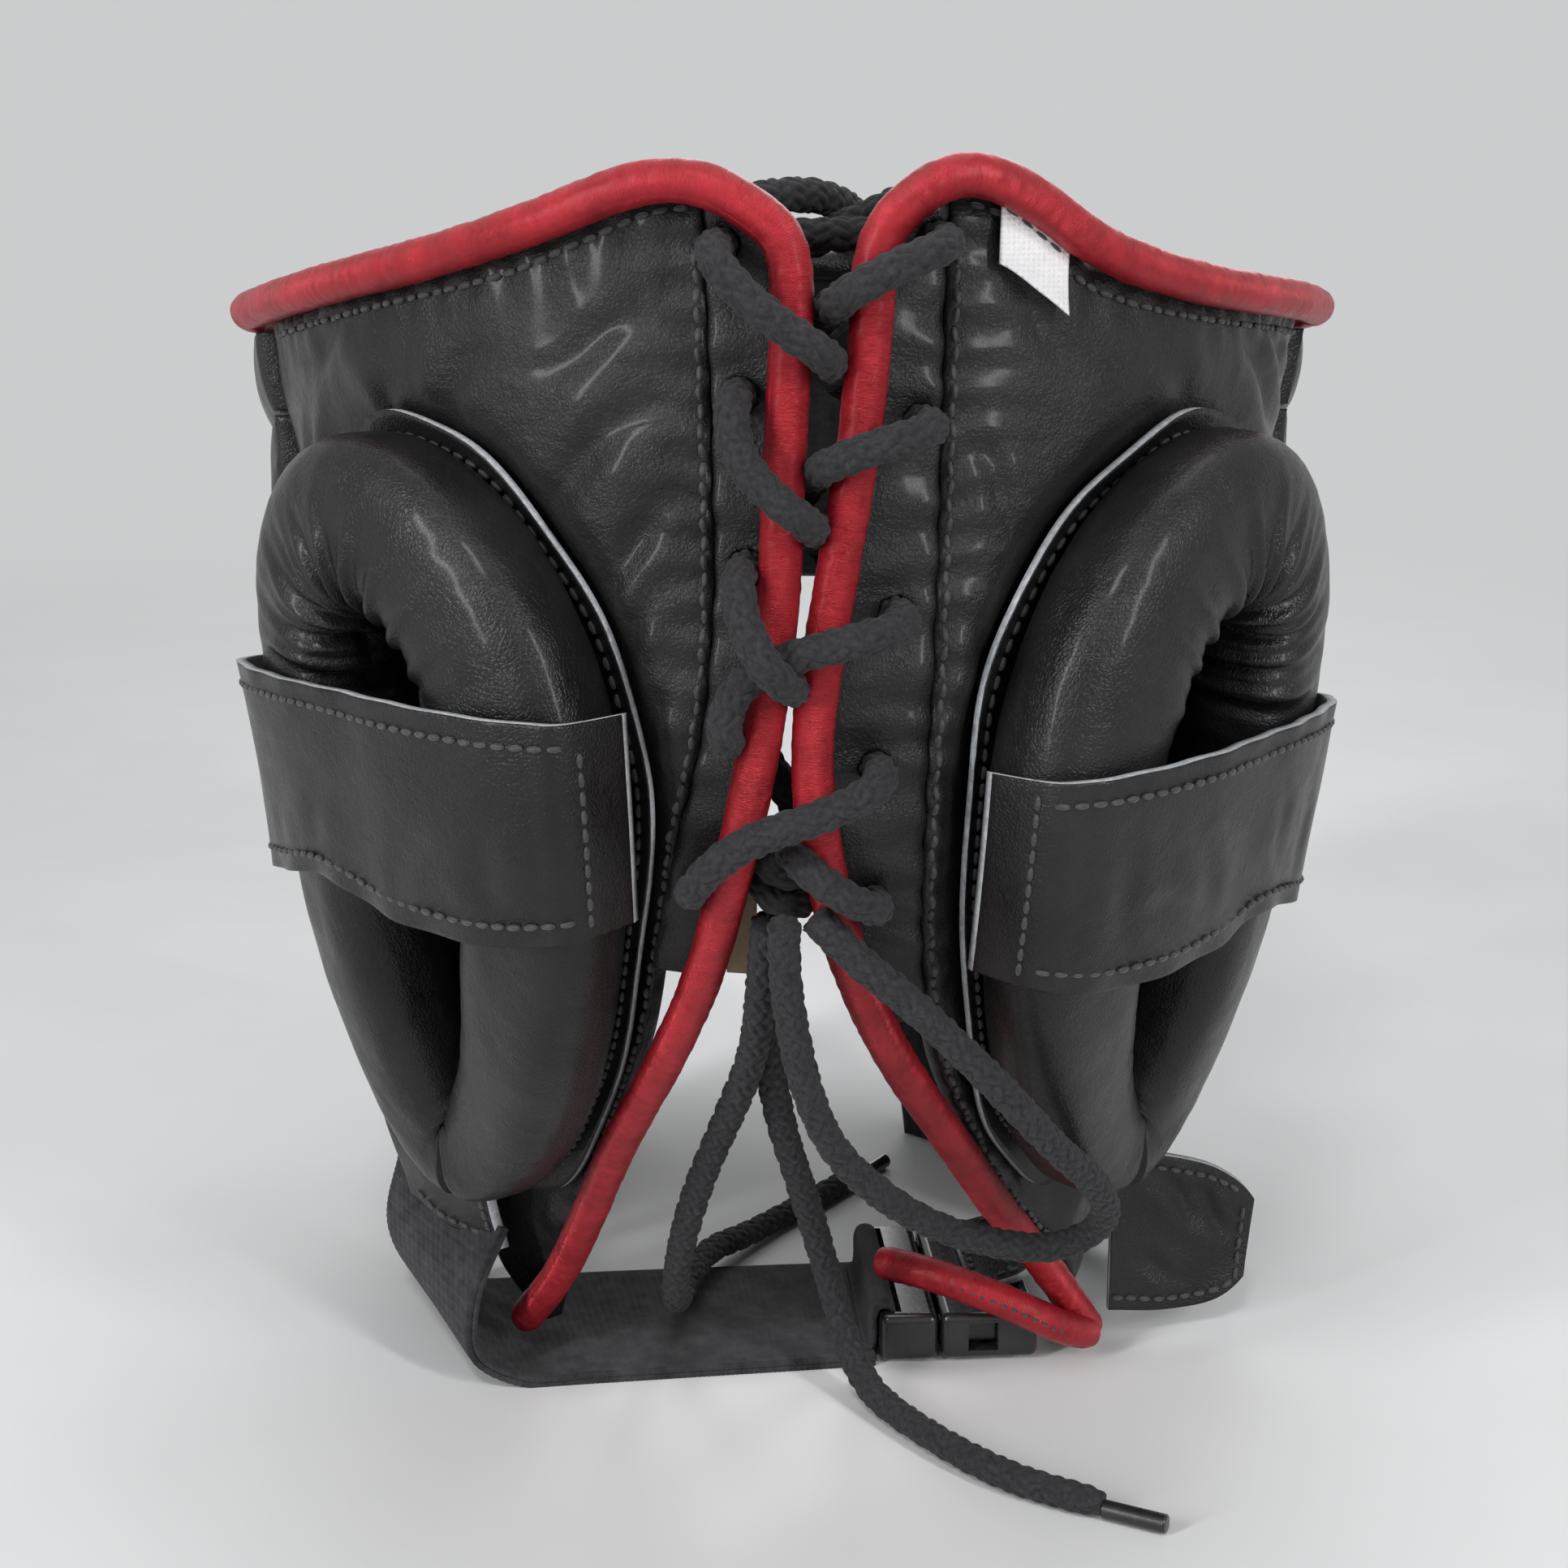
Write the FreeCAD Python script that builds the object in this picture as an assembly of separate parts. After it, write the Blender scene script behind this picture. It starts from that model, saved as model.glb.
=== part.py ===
# Boxing headgear that laces up the back, in millimetres, +Z up.
# +Y is the face side, -Y is the laced back, +X is the wearer's right.
# Pieces are modelled about the head's axis and moved by ORIGIN, so that the origin ends up
# on the floor, under the middle of the headgear.
import FreeCAD
import Part
import math
import os

V = FreeCAD.Vector
os.makedirs("parts", exist_ok=True)

ORIGIN = V(0.0, -8.4, 0.0)

# Head form: half outline of the outer leather at FORM_Z, from the back centre to the front centre
HALF_PLAN = [(0, -103), (30, -96), (58, -78), (82, -48), (97, -12),
             (102, 25), (98, 62), (82, 95), (48, 119), (0, 128)]
FORM_Z = 150.0
FORM_Y = 25.0
WIDTH_AT_Z = [(0, 0.72), (50, 0.825), (100, 0.912), (150, 0.965), (200, 1.04), (260, 1.143)]
DEPTH_AT_Z = [(0, 0.44), (10, 0.47), (50, 0.62), (100, 0.86), (150, 1.0), (200, 1.0), (262, 0.98)]

# Edges of the back opening, as (height, distance round the form from the back centre)
LEFT_EDGE = [(5, 88), (16, 79), (44, 57.5), (70, 44), (93, 31.3), (113, 22.9), (148, 14.8),
             (166, 11), (192, 8), (220, 7.2), (240, 5.6), (247, 6.4), (255, 11)]
RIGHT_EDGE = [(5, 92), (18, 84), (44, 52), (70, 31), (94, 14.3), (114, 5), (130, 0.4), (154, -4.4),
              (167, -3.2), (192, 0.8), (220, 4.8), (242, 6), (251, 6.4), (257, 10)]
LEFT_SEAM = [(5, 93), (16, 84), (44, 64), (70, 52), (93, 41), (113, 36), (135, 31), (160, 24),
             (180, 21), (200, 20), (256, 19.5)]
RIGHT_SEAM = [(5, 98.2), (18, 90.2), (44, 58.7), (70, 38.2), (90, 26.7), (112, 21.4), (135, 19.3), (165, 19),
              (200, 19), (256, 18.5)]
# Top rim, as (distance round the form, height of the piping's middle)
LEFT_RIM = [(11, 252), (20, 257.3), (28, 256.8), (38, 252.6), (55, 246.2), (85, 240.2), (117, 235),
            (150, 231), (200, 227), (345, 223)]
RIGHT_RIM = [(10, 253.5), (18, 258.5), (26, 257), (34, 251.5), (44, 244.5), (62, 239.5), (90, 236),
             (120, 233.5), (150, 231), (200, 227), (345, 223)]

# Layers and trim
SKIN = 1.2
GAP = 0.3
LINING = 1.0
RIM_THICKNESS = 6.0
FLOOR_CUT = 0.5
PAD_THICKNESS = 20.0
PIPING_D = 7.8
PIPING_OFF = 4.4
LACE_D = 6.4
HOLE_R = 3.6
FACING_THICKNESS = 4.4
SIDE_FRONT_W = 152.0
PAD_BACK_W = 156.0
SIDE_CROWN = 4.0
CHEEK_CROWN = 15.0
CHEEK_LIFT = 3.0
CHEEK_DEPTH = 16.0
FOREHEAD_CROWN = 9.0

# Ear guard: an egg-shaped padded ring over a slot
LEFT_EAR_W = 84.0
RIGHT_EAR_W = 76.0
EAR_Z = 148.0
EAR_UP = 51.0
EAR_DOWN = 88.0
EAR_HALF = 34.0
EAR_DIP = 11.0
ROLL_HALF_WIDTH = 13.4
ROLL_HALF_HEIGHT = 12.5
BASE_MARGIN = 18.0
BASE_THICKNESS = 2.0
BAND_THICKNESS = 2.0
BAND_REAR_HEIGHT = 40.0
BAND_FRONT_HEIGHT = 46.0
SLOT_HALF = 14.0

# Chin strap
ELASTIC_THICKNESS = 1.2
BUCKLE_Y = -4.0
BUCKLE_WIDTH = 50.0
BUCKLE_HEIGHT = 11.0
SOCKET_X = (32.3, 54.0)
PLUG_X = (18.5, 31.5)


def smooth(points, x):
    """Value at x of a smooth curve through points, which are (x, value) in rising x."""
    if x <= points[0][0]:
        return points[0][1]
    if x >= points[-1][0]:
        return points[-1][1]
    last = len(points) - 1
    i = max(k for k in range(last) if points[k][0] <= x)

    def slope(k):
        a = points[max(k - 1, 0)]
        b = points[min(k + 1, last)]
        return (b[1] - a[1]) / (b[0] - a[0])
    step = points[i + 1][0] - points[i][0]
    t = (x - points[i][0]) / step
    start = (2 * t ** 3 - 3 * t ** 2 + 1) * points[i][1] + (t ** 3 - 2 * t ** 2 + t) * step * slope(i)
    end = (3 * t ** 2 - 2 * t ** 3) * points[i + 1][1] + (t ** 3 - t ** 2) * step * slope(i + 1)
    return start + end


def plan_curve():
    """The half outline as (distance, x, y), close together along a smooth curve."""
    ends = [(-HALF_PLAN[1][0], HALF_PLAN[1][1])] + HALF_PLAN + [(-HALF_PLAN[-2][0], HALF_PLAN[-2][1])]
    steps = 30
    rows = [(0.0, HALF_PLAN[0][0], HALF_PLAN[0][1])]
    for i in range(1, len(ends) - 2):
        a, b, c, d = ends[i - 1:i + 3]
        for k in range(1, steps + 1):
            t = k / steps
            p = [0.5 * (2 * b[j] + (c[j] - a[j]) * t + (2 * a[j] - 5 * b[j] + 4 * c[j] - d[j]) * t ** 2
                        + (3 * b[j] - a[j] - 3 * c[j] + d[j]) * t ** 3) for j in (0, 1)]
            rows.append((rows[-1][0] + math.hypot(p[0] - rows[-1][1], p[1] - rows[-1][2]), p[0], p[1]))
    return rows


PLAN = plan_curve()
HALF_ROUND = PLAN[-1][0]


def plan_at(w):
    """Point of the outline at distance w, for w from 0 to HALF_ROUND."""
    low = 0
    high = len(PLAN) - 1
    while high - low > 1:
        middle = (low + high) // 2
        if PLAN[middle][0] <= w:
            low = middle
        else:
            high = middle
    share = (w - PLAN[low][0]) / (PLAN[high][0] - PLAN[low][0])
    return [PLAN[low][j] + (PLAN[high][j] - PLAN[low][j]) * share for j in (1, 2)]


def on_form(w, z, off=0.0):
    """Point at distance w round the form (minus is the wearer's left), height z, off outside it."""
    side = 1.0 if w >= 0 else -1.0
    w = abs(w)
    if w > HALF_ROUND:
        w = 2 * HALF_ROUND - w
        side = -side
    x, y = plan_at(w)
    x0, y0 = plan_at(max(w - 1.0, 0.0))
    x1, y1 = plan_at(min(w + 1.0, HALF_ROUND))
    length = math.hypot(x1 - x0, y1 - y0)
    nx = (y1 - y0) / length
    ny = -(x1 - x0) / length
    x = x * smooth(WIDTH_AT_Z, z)
    if y < FORM_Y:
        y = FORM_Y + (y - FORM_Y) * smooth(DEPTH_AT_Z, z)
    return V(side * (x + nx * off), y + ny * off, z)


def slab(surface, low, high, ns, nt):
    """Closed solid between two offsets of surface(s, t, off), for s and t from 0 to 1."""
    faces = []
    for level in (high, low):
        grid = []
        for i in range(ns + 1):
            s = i / ns
            grid.append([surface(s, j / nt, level(s, j / nt)) for j in range(nt + 1)])
        sheet = Part.BSplineSurface()
        sheet.interpolate(grid)
        faces.append(sheet)
    sides = []
    for name, value in (("u", 0), ("u", 1), ("v", 0), ("v", 1)):
        pair = []
        for sheet in faces:
            u0, u1, v0, v1 = sheet.bounds()
            if name == "u":
                pair.append(sheet.uIso((u0, u1)[value]).toShape())
            else:
                pair.append(sheet.vIso((v0, v1)[value]).toShape())
        sides.append(Part.makeRuledSurface(pair[0], pair[1], 1))
    shell = Part.makeShell([f.toShape() for f in faces] + sides)
    shell.sewShape()
    shell = shell.Shells[0] if shell.Shells else shell
    solid = Part.makeSolid(shell)
    solid.fix(0.001, 0.001, 0.001)
    if solid.Volume < 0:
        solid.reverse()
    return solid


def crown(s, t, sharp=0.8):
    """Height of a cushion, 1 in its middle and 0 on its four sides."""
    return (math.sin(math.pi * s) * math.sin(math.pi * t)) ** sharp


def layers(where, outer, inner, ns, nt):
    """Leather, foam and lining solids of one pad, from its outer and inner offsets."""
    def surface(s, t, off):
        w, z = where(s, t)
        return on_form(w, z, off)
    leather = slab(surface, lambda s, t: outer(s, t) - SKIN, outer, ns, nt)
    foam = slab(surface, lambda s, t: inner(s, t) + LINING + GAP, lambda s, t: outer(s, t) - SKIN - GAP, ns, nt)
    lining = slab(surface, inner, lambda s, t: inner(s, t) + LINING, ns, nt)
    return leather, foam, lining


def tube(points, diameter, name, share=0.45):
    """Round cord of straight runs joined by tangent arcs through a list of points."""
    points = [V(*p) if isinstance(p, tuple) else p for p in points]
    edges = []
    at = points[0]
    radii = []
    for a, b, c in zip(points, points[1:], points[2:]):
        into = (b - a).normalize()
        out = (c - b).normalize()
        turn = into.getAngle(out)
        if turn < 0.01:
            continue
        run = min((b - a).Length, (c - b).Length)
        reach = share * run
        radius = reach / math.tan(turn / 2)
        radii.append(radius)
        start = b - into * reach
        end = b + out * reach
        middle = b + (out - into).normalize() * (radius / math.cos(turn / 2) - radius)
        if (start - at).Length > 0.001:
            edges.append(Part.LineSegment(at, start).toShape())
        edges.append(Part.Arc(start, middle, end).toShape())
        at = end
    edges.append(Part.LineSegment(at, points[-1]).toShape())
    path = Part.Wire(edges)
    ring = Part.Wire([Part.Circle(points[0], points[1] - points[0], diameter / 2).toShape()])
    solid = path.makePipeShell([ring], True, False)
    if solid.Volume < 0:
        solid.reverse()
    ideal = math.pi * diameter ** 2 / 4 * path.Length
    print(f"{name}: length {path.Length:.1f}, least radius {min(radii):.1f}, "
          f"volume {solid.Volume / ideal:.4f} of ideal, valid {solid.isValid()}")
    return solid


def box(x, y, z):
    """Box between pairs of limits along each axis."""
    return Part.makeBox(x[1] - x[0], y[1] - y[0], z[1] - z[0], V(x[0], y[0], z[0]))


def rounded_box(x, y, z, radius):
    solid = box(x, y, z)
    return solid.makeFillet(radius, solid.Edges)


# Ear guard geometry, shared by the side panel, base, roll and band
def ear_w(side):
    """Distance round the form of the ear's centre; the laced back sits a little to one side."""
    return LEFT_EAR_W if side < 0 else RIGHT_EAR_W


def egg_share(w, z, margin=0.0):
    """Distance from the ear's centre as a share of the ring's centreline plus a margin."""
    up = EAR_UP if z > EAR_Z else EAR_DOWN
    return math.hypot((abs(w) - ear_w(w)) / (EAR_HALF + margin), (z - EAR_Z) / (up + margin))


def ear_dip(w, z):
    """How far the panel sinks under the ear ring."""
    share = egg_share(w, z, BASE_MARGIN)
    t = min(max((1.10 - share) / 0.36, 0.0), 1.0)
    return -EAR_DIP * t * t * (3 - 2 * t)


def side_where(side):
    """Map of the side panel: s from the back seam to the front edge, t from bottom to top."""
    seam = LEFT_SEAM if side < 0 else RIGHT_SEAM
    rim = LEFT_RIM if side < 0 else RIGHT_RIM

    def where(s, t):
        top_w = 20.0 + (SIDE_FRONT_W - 20.0) * s
        top = smooth(rim, top_w) - PIPING_D / 2 - 0.6
        bottom_back = 13.5 if side > 0 else 6.0
        bottom = smooth([(0, bottom_back), (0.25, 17), (0.5, 34), (0.8, 46), (1, 48)], s)
        z = bottom + (top - bottom) * t
        back_z = bottom_back + (top - bottom_back) * t
        back = smooth(seam, min(back_z, 256)) + 0.5
        w = back + (SIDE_FRONT_W - back) * s
        return side * w, z
    return where


def hem_curl(side, s, t):
    """How far the lower back corner of a side panel curls outward."""
    return (7.0 if side > 0 else 2.0) * (1 - t) ** 4 * (1 - s) ** 2


def side_outer(side):
    where = side_where(side)

    def outer(s, t):
        w, z = where(s, t)
        return SIDE_CROWN * crown(s, t) + ear_dip(w, z) + hem_curl(side, s, t)
    return outer


def side_inner(side):
    where = side_where(side)

    def inner(s, t):
        w, z = where(s, t)
        dip = ear_dip(w, z)
        swell = PAD_THICKNESS - RIM_THICKNESS + dip
        return dip - RIM_THICKNESS - swell * crown(s, t, 0.6) + hem_curl(side, s, t)
    return inner


def ear_slot(side):
    """Prism of the ear slot, square to the form at the ear's centre."""
    centre = on_form(side * ear_w(side), EAR_Z - 18, 0)
    out = (on_form(side * ear_w(side), EAR_Z - 18, 10) - centre).normalize()
    along = V(0, 0, 1)
    across = out.cross(along)
    half = 36.0
    corners = [centre - out * 40 + along * (half * a) + across * (SLOT_HALF * b)
               for a, b in ((-1, -1), (1, -1), (1, 1), (-1, 1))]
    high = centre - out * 40 + along * (half + SLOT_HALF)
    low = centre - out * 40 - along * (half + SLOT_HALF)
    edges = [Part.LineSegment(corners[0], corners[1]).toShape(),
             Part.Arc(corners[1], high, corners[2]).toShape(),
             Part.LineSegment(corners[2], corners[3]).toShape(),
             Part.Arc(corners[3], low, corners[0]).toShape()]
    return Part.Face(Part.Wire(edges)).extrude(out * 90)


def ear_base(side):
    """Thin raw-edged leather under the padded ring."""
    half = EAR_HALF + BASE_MARGIN

    def surface(s, t, off):
        angle = math.pi * (0.07 + 0.86 * t)
        up = (EAR_UP if t > 0.5 else EAR_DOWN) + BASE_MARGIN - 2
        z = EAR_Z - up * math.cos(angle)
        w = side * (ear_w(side) + half * math.sin(angle) * (2 * s - 1))
        return on_form(w, z, off + ear_dip(w, z) + SIDE_CROWN + 2 * GAP)
    return slab(surface, lambda s, t: 0.0, lambda s, t: BASE_THICKNESS, 20, 20)


def ring_point(side, angle):
    """Centre of the padded ring at an angle from the front, as (w, z, off)."""
    up = EAR_UP if math.sin(angle) > 0 else EAR_DOWN
    w = side * (ear_w(side) + EAR_HALF * math.cos(angle))
    z = EAR_Z + up * math.sin(angle)
    lift = SIDE_CROWN + ear_dip(w, z) + 4 * GAP + BASE_THICKNESS + ROLL_HALF_HEIGHT
    return w, z, lift


def ear_roll(side):
    """Padded ring as one swollen roll whose two ends meet at the bottom."""
    rings = []
    count = 22
    start = math.radians(-88.0)
    end = math.radians(268.0)
    for i in range(count + 1):
        angle = start + (end - start) * i / count
        w, z, off = ring_point(side, angle)
        centre = on_form(w, z, off)
        along = (on_form(*ring_point(side, angle + 0.02)) - on_form(*ring_point(side, angle - 0.02))).normalize()
        out = (on_form(w, z, off + 5) - centre).normalize()
        across = along.cross(out).normalize()
        out = across.cross(along).normalize()
        low = max(0.0, -math.sin(angle))
        wide = ROLL_HALF_WIDTH * (1 - 0.20 * low ** 2)
        tall = ROLL_HALF_HEIGHT * (1 - 0.15 * low ** 2)
        curve = Part.BSplineCurve()
        curve.interpolate([centre + across * (wide * math.sin(math.pi * k / 4))
                           + out * (tall * math.cos(math.pi * k / 4)) for k in range(8)], PeriodicFlag=True)
        rings.append(Part.Wire([curve.toShape()]))
    return Part.makeLoft(rings, True, False)


def ear_band(side):
    """Leather band stretched across the ring, sewn to the base on both sides."""
    rear_top = 166.0 if side < 0 else 155.0
    front_top = 163.0 if side < 0 else 154.0
    rise = [(0.0, 0.0), (0.025, 0.40), (0.05, 0.68), (0.08, 0.87), (0.12, 0.98), (0.17, 1.03)]
    profile = rise + [(0.5, 1.03)] + [(1 - share, height) for share, height in reversed(rise)]
    w0 = ear_w(side) - EAR_HALF - BASE_MARGIN
    w1 = ear_w(side) + EAR_HALF + BASE_MARGIN

    def surface(s, t, off):
        w = w0 + (w1 - w0) * s
        top = rear_top + (front_top - rear_top) * s
        z = top - (BAND_REAR_HEIGHT + (BAND_FRONT_HEIGHT - BAND_REAR_HEIGHT) * s) * (1 - t)
        rest = SIDE_CROWN - EAR_DIP + 5 * GAP + BASE_THICKNESS + 2 * ROLL_HALF_HEIGHT + 1.8
        edge = SIDE_CROWN + 3 * GAP + BASE_THICKNESS + ear_dip(side * w0, z)
        lift = edge + (rest - edge) * smooth(profile, s)
        return on_form(side * w, z, lift + off)
    return slab(surface, lambda s, t: 0.0, lambda s, t: BAND_THICKNESS, 28, 4)


def facing(side):
    """Laced strip between the piping and the back seam."""
    edge = LEFT_EDGE if side < 0 else RIGHT_EDGE
    seam = LEFT_SEAM if side < 0 else RIGHT_SEAM
    low = 112.0 if side < 0 else 100.0

    def surface(s, t, off):
        def height(w):
            return smooth([(6, 244), (11, 250), (20, 255)], w)
        start_w = 6.0 + 14.0 * s
        z = low + (height(start_w) - low) * t
        first = smooth(edge, z) + 2.2
        w = first + (smooth(seam, z) - 0.4 - first) * s
        return on_form(side * w, z, off)
    body = slab(surface, lambda s, t: -FACING_THICKNESS, lambda s, t: 0.0, 5, 12)
    for w, z in (LEFT_HOLES if side < 0 else RIGHT_HOLES):
        at = on_form(side * w, z, -15)
        out = on_form(side * w, z, 15) - at
        body = body.cut(Part.makeCylinder(HOLE_R, out.Length, at, out))
    return body


LEFT_HOLES = [(17.2, 246), (14.8, 221), (14.6, 191.3), (17.2, 161), (25.2, 131)]
RIGHT_HOLES = [(16.8, 247), (15.2, 216.2), (11.6, 183), (8.6, 155.2), (9.0, 129)]


# Lower ends of the two edge pipings: the right one stands on the floor
LEFT_CORNER = (-61.0, -17.0, 8.4)
RIGHT_CORNER = (67.0, -24.0, 1.0)


def edge_piping(side):
    """Binding down one side of the back opening and over the back part of the rim."""
    edge = LEFT_EDGE if side < 0 else RIGHT_EDGE
    rim = LEFT_RIM if side < 0 else RIGHT_RIM
    heights = [22, 44, 68, 92, 114, 136, 160, 186, 212, 236, 247]
    points = [on_form(side * smooth(edge, z), z, PIPING_OFF) for z in heights]
    points.insert(0, V(*RIGHT_CORNER) if side > 0 else V(*LEFT_CORNER))
    points += [on_form(side * w, smooth(rim, w), PIPING_OFF) for w in (11.5, 19, 29, 44, 66, 92, 120, 150)]
    return tube(points, PIPING_D, "edge_piping")


def front_piping():
    """Binding over the front of the rim, from side to side."""
    points = []
    for w in (150.8, 182, 216, 250, 284, 318, 345, 372, 406, 440, 474, 508, 539.2):
        inside = min(w, 2 * HALF_ROUND - w)
        points.append(on_form(w, smooth(LEFT_RIM, inside), PIPING_OFF))
    return tube(points, PIPING_D, "front_rim_piping")


def pad_top(w):
    """Seam between cheek pad and forehead pad."""
    return smooth([(150, 212), (180, 200), (230, 170), (285, 156), (345, 154)], w)


def cheek(side):
    def where(s, t):
        top_w = PAD_BACK_W + (272 - PAD_BACK_W) * s
        z_low = smooth([(0, 38), (0.2, 16), (0.4, 2.5), (0.55, -FLOOR_CUT), (1, -FLOOR_CUT)], s)
        z = z_low + (pad_top(top_w) - 1.0 - z_low) * t
        front = smooth([(-1, 282), (30, 293), (80, 296), (150, 272), (212, 262)], z)
        return side * (PAD_BACK_W + (front - PAD_BACK_W) * s), z

    def outer(s, t):
        return CHEEK_LIFT + CHEEK_CROWN * crown(s, t, 0.45)

    def inner(s, t):
        return -RIM_THICKNESS - (CHEEK_DEPTH - RIM_THICKNESS) * crown(s, t, 0.5)
    return layers(where, outer, inner, 9, 9)


def forehead():
    reach = HALF_ROUND - PAD_BACK_W

    def where(s, t):
        w = PAD_BACK_W + 2 * reach * s
        inside = min(w, 2 * HALF_ROUND - w)
        top = smooth(LEFT_RIM, inside) - PIPING_D / 2 - 0.6
        low = pad_top(inside) + 1.0
        return w, low + (top - low) * t

    def outer(s, t):
        return CHEEK_LIFT + FOREHEAD_CROWN * crown(s, t, 0.5)

    def inner(s, t):
        return -RIM_THICKNESS - (CHEEK_DEPTH - RIM_THICKNESS) * crown(s, t, 0.5)
    return layers(where, outer, inner, 20, 6)


def crown_tongue():
    """Padded tongue over the top of the head, sewn to the forehead pad."""
    half = 28.0

    def surface(s, t, off):
        y = 112.0 - 158.0 * s
        z = smooth([(0, 214), (0.3, 232), (0.65, 240), (1, 241)], s)
        x = half * (2 * t - 1) * (1 - 0.25 * s)
        return V(x, y, z - 0.004 * x * x + off)
    body = slab(surface, lambda s, t: -2.0 - 4 * crown(s, t, 0.5), lambda s, t: 2.0 + 4 * crown(s, t, 0.5), 10, 6)
    for x in (-9.0, 9.0):
        body = body.cut(Part.makeCylinder(HOLE_R, 30, V(x, -37, 225), V(0, 0, 1)))
    return body


# Lace held by the headgear, as (distance round, height, offset): from the knot up one side,
# across the top, and down the other side back to the knot
BACK_LACE = [
    (-9, 136, -9.5), (-17, 131.5, -11), (-25.2, 131, -10), (-25.2, 131, 9.5), (-18, 141, 13),
    (-10.5, 146.5, 13.5), (-2, 149.8, 13.5), (8.6, 155.2, 10.5), (8.6, 155.2, -10), (2, 162, -11),
    (-5, 168, -10), (-6.5, 172, 11.5), (-9.8, 177.5, 19), (-13, 184, 15), (-14.6, 191.3, 10),
    (-14.6, 191.3, -10), (-9, 198, -11), (-3.5, 205, -10), (-2.2, 209.8, 11), (5, 213.6, 13.2),
    (15.2, 216.2, 10.5), (15.2, 216.2, -10), (8, 219.5, -11), (1, 224, -10), (-0.6, 227.8, 11),
    (-7.5, 233.5, 13.2), (-13.5, 240, 12.5), (-17.2, 246, 10), (-17.2, 246, -10), (-8, 247.5, -11.5),
    (8, 247.8, -11.5), (16.8, 247, -10), (16.8, 247, 10), (7, 243, 13.3), (0, 237.5, 11),
    (-1.5, 233, -10), (-8, 227, -11), (-14.8, 221, -10), (-14.8, 221, 10.5), (-13.5, 211.5, 12.5),
    (-8.5, 204.8, 13.3), (-3, 199.5, 11), (-2.5, 196, -10), (4, 189, -11), (11.6, 183, -10),
    (11.6, 183, 10.5), (3, 181, 13.3), (-4.5, 178.7, 12.7), (-11, 176, 12.3), (-16.5, 169.5, 11),
    (-17.2, 161, 10), (-17.2, 161, -10), (-12, 152, -11.5), (-2, 139, -12), (9, 129, -11),
    (9, 129, 9.5), (2, 133.5, 12.8), (-5, 139.5, 10.5), (-7, 140.5, 3)]

# Free lace: a slipped loop and two tails from the knot
LACE_LOOP = [
    (-3, -107.5, 129), (4, -108, 121.5), (14.4, -106.5, 112.5), (24.5, -104.5, 102), (35.4, -97.5, 89),
    (46, -88, 75), (54.5, -77.5, 65), (60, -68, 55.5), (61.5, -60, 47.5), (58, -55, 41.5), (50.5, -55.5, 39.5),
    (39.1, -61.1, 43.6), (26, -68, 50.4), (13.6, -77.1, 61.3), (2.5, -85.5, 75), (-3.5, -93.5, 91),
    (-7, -100, 108), (-8.5, -105, 121), (-8.5, -108, 128)]
TAIL_LONG = [
    (-8, -91.5, 127), (-8.5, -82.5, 111), (-9.5, -73, 93), (-6.2, -60.5, 72), (-1, -48.5, 53), (3.5, -38.5, 36),
    (7.5, -34.5, 20), (11, -39.5, 8), (14.5, -47.5, 4), (18.6, -55.5, 3.3), (25.5, -67, 3.3),
    (33, -77.5, 3.3), (43.1, -88, 3.3), (55.5, -95.2, 3.3)]
TAIL_SHORT = [
    (-11, -99.5, 126), (-11.5, -92, 111), (-12.5, -81, 93.3), (-16.4, -66, 76), (-22.5, -50, 54),
    (-26.5, -35, 31), (-27, -23, 14.5), (-25.5, -9, 9.4), (-22.5, 5, 8.4), (-17.5, 19, 7.8), (-8.5, 33, 4.4),
    (2, 47, 3.3), (14, 60, 3.3), (24, 73, 3.3)]
# Crown lace between the tongue and the two back corners
CROWN_LACE = [
    (-13, -87, 253.5), (-4, -80, 255), (5, -66, 253), (9, -50, 250.5), (9, -37, 250), (9, -37, 228),
    (-9, -37, 228), (-9, -37, 248), (-8.5, -52, 246.5), (-3, -66, 245), (5, -78, 249), (14, -86, 253.5)]

# Right piping's free end, turned back along the hem
PIPING_TAIL = [(62.5, -28.5, 6), (57, -33, 10), (44, -33, 17.5), (31, -25, 20), (19, -18, 20.5)]

# Chin elastic, as (share of length, x, y, z) of its back and front selvedges
ELASTIC_BACK = [(0, -64, -29, 36), (0.12, -70.5, -33.5, 21), (0.2, -70.5, -34, 8), (0.28, -60, -33.5, 1.6),
                (0.4, -46, -32.5, 1.35), (0.7, -14, -30.5, 1.35), (1, 17.5, -28.5, 1.35)]
ELASTIC_FRONT = [(0, -88.5, 7, 40), (0.12, -92, 9, 22), (0.2, -87, 13, 8), (0.28, -74, 17, 1.6),
                 (0.4, -56, 18.5, 1.35), (0.7, -18, 19.5, 1.35), (1, 17.5, 20.0, 1.35)]


def lace_knot():
    """Overhand knot between the two pipings, as a squat swollen lump with flat turns."""
    centre = on_form(-8.5, 134, -3)
    knot = Part.makeSphere(1.0)
    shape = FreeCAD.Matrix()
    shape.scale(5.2, 7.5, 8.5)
    knot = knot.transformGeometry(shape)
    knot.translate(centre)
    return knot


def aglet(points, length, diameter):
    """Plastic tip on the end of a lace, in line with its last run."""
    end = V(*points[-1])
    along = end - V(*points[-2])
    along.z = 0
    along = along.normalize()
    start = V(end.x, end.y, diameter / 2 + 0.3) + along * 0.2
    tip = Part.makeCylinder(diameter / 2, length, start, along)
    return tip.makeFillet(0.5, [e for e in tip.Edges if e.Closed and (e.CenterOfMass - start).Length > 1])


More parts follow.
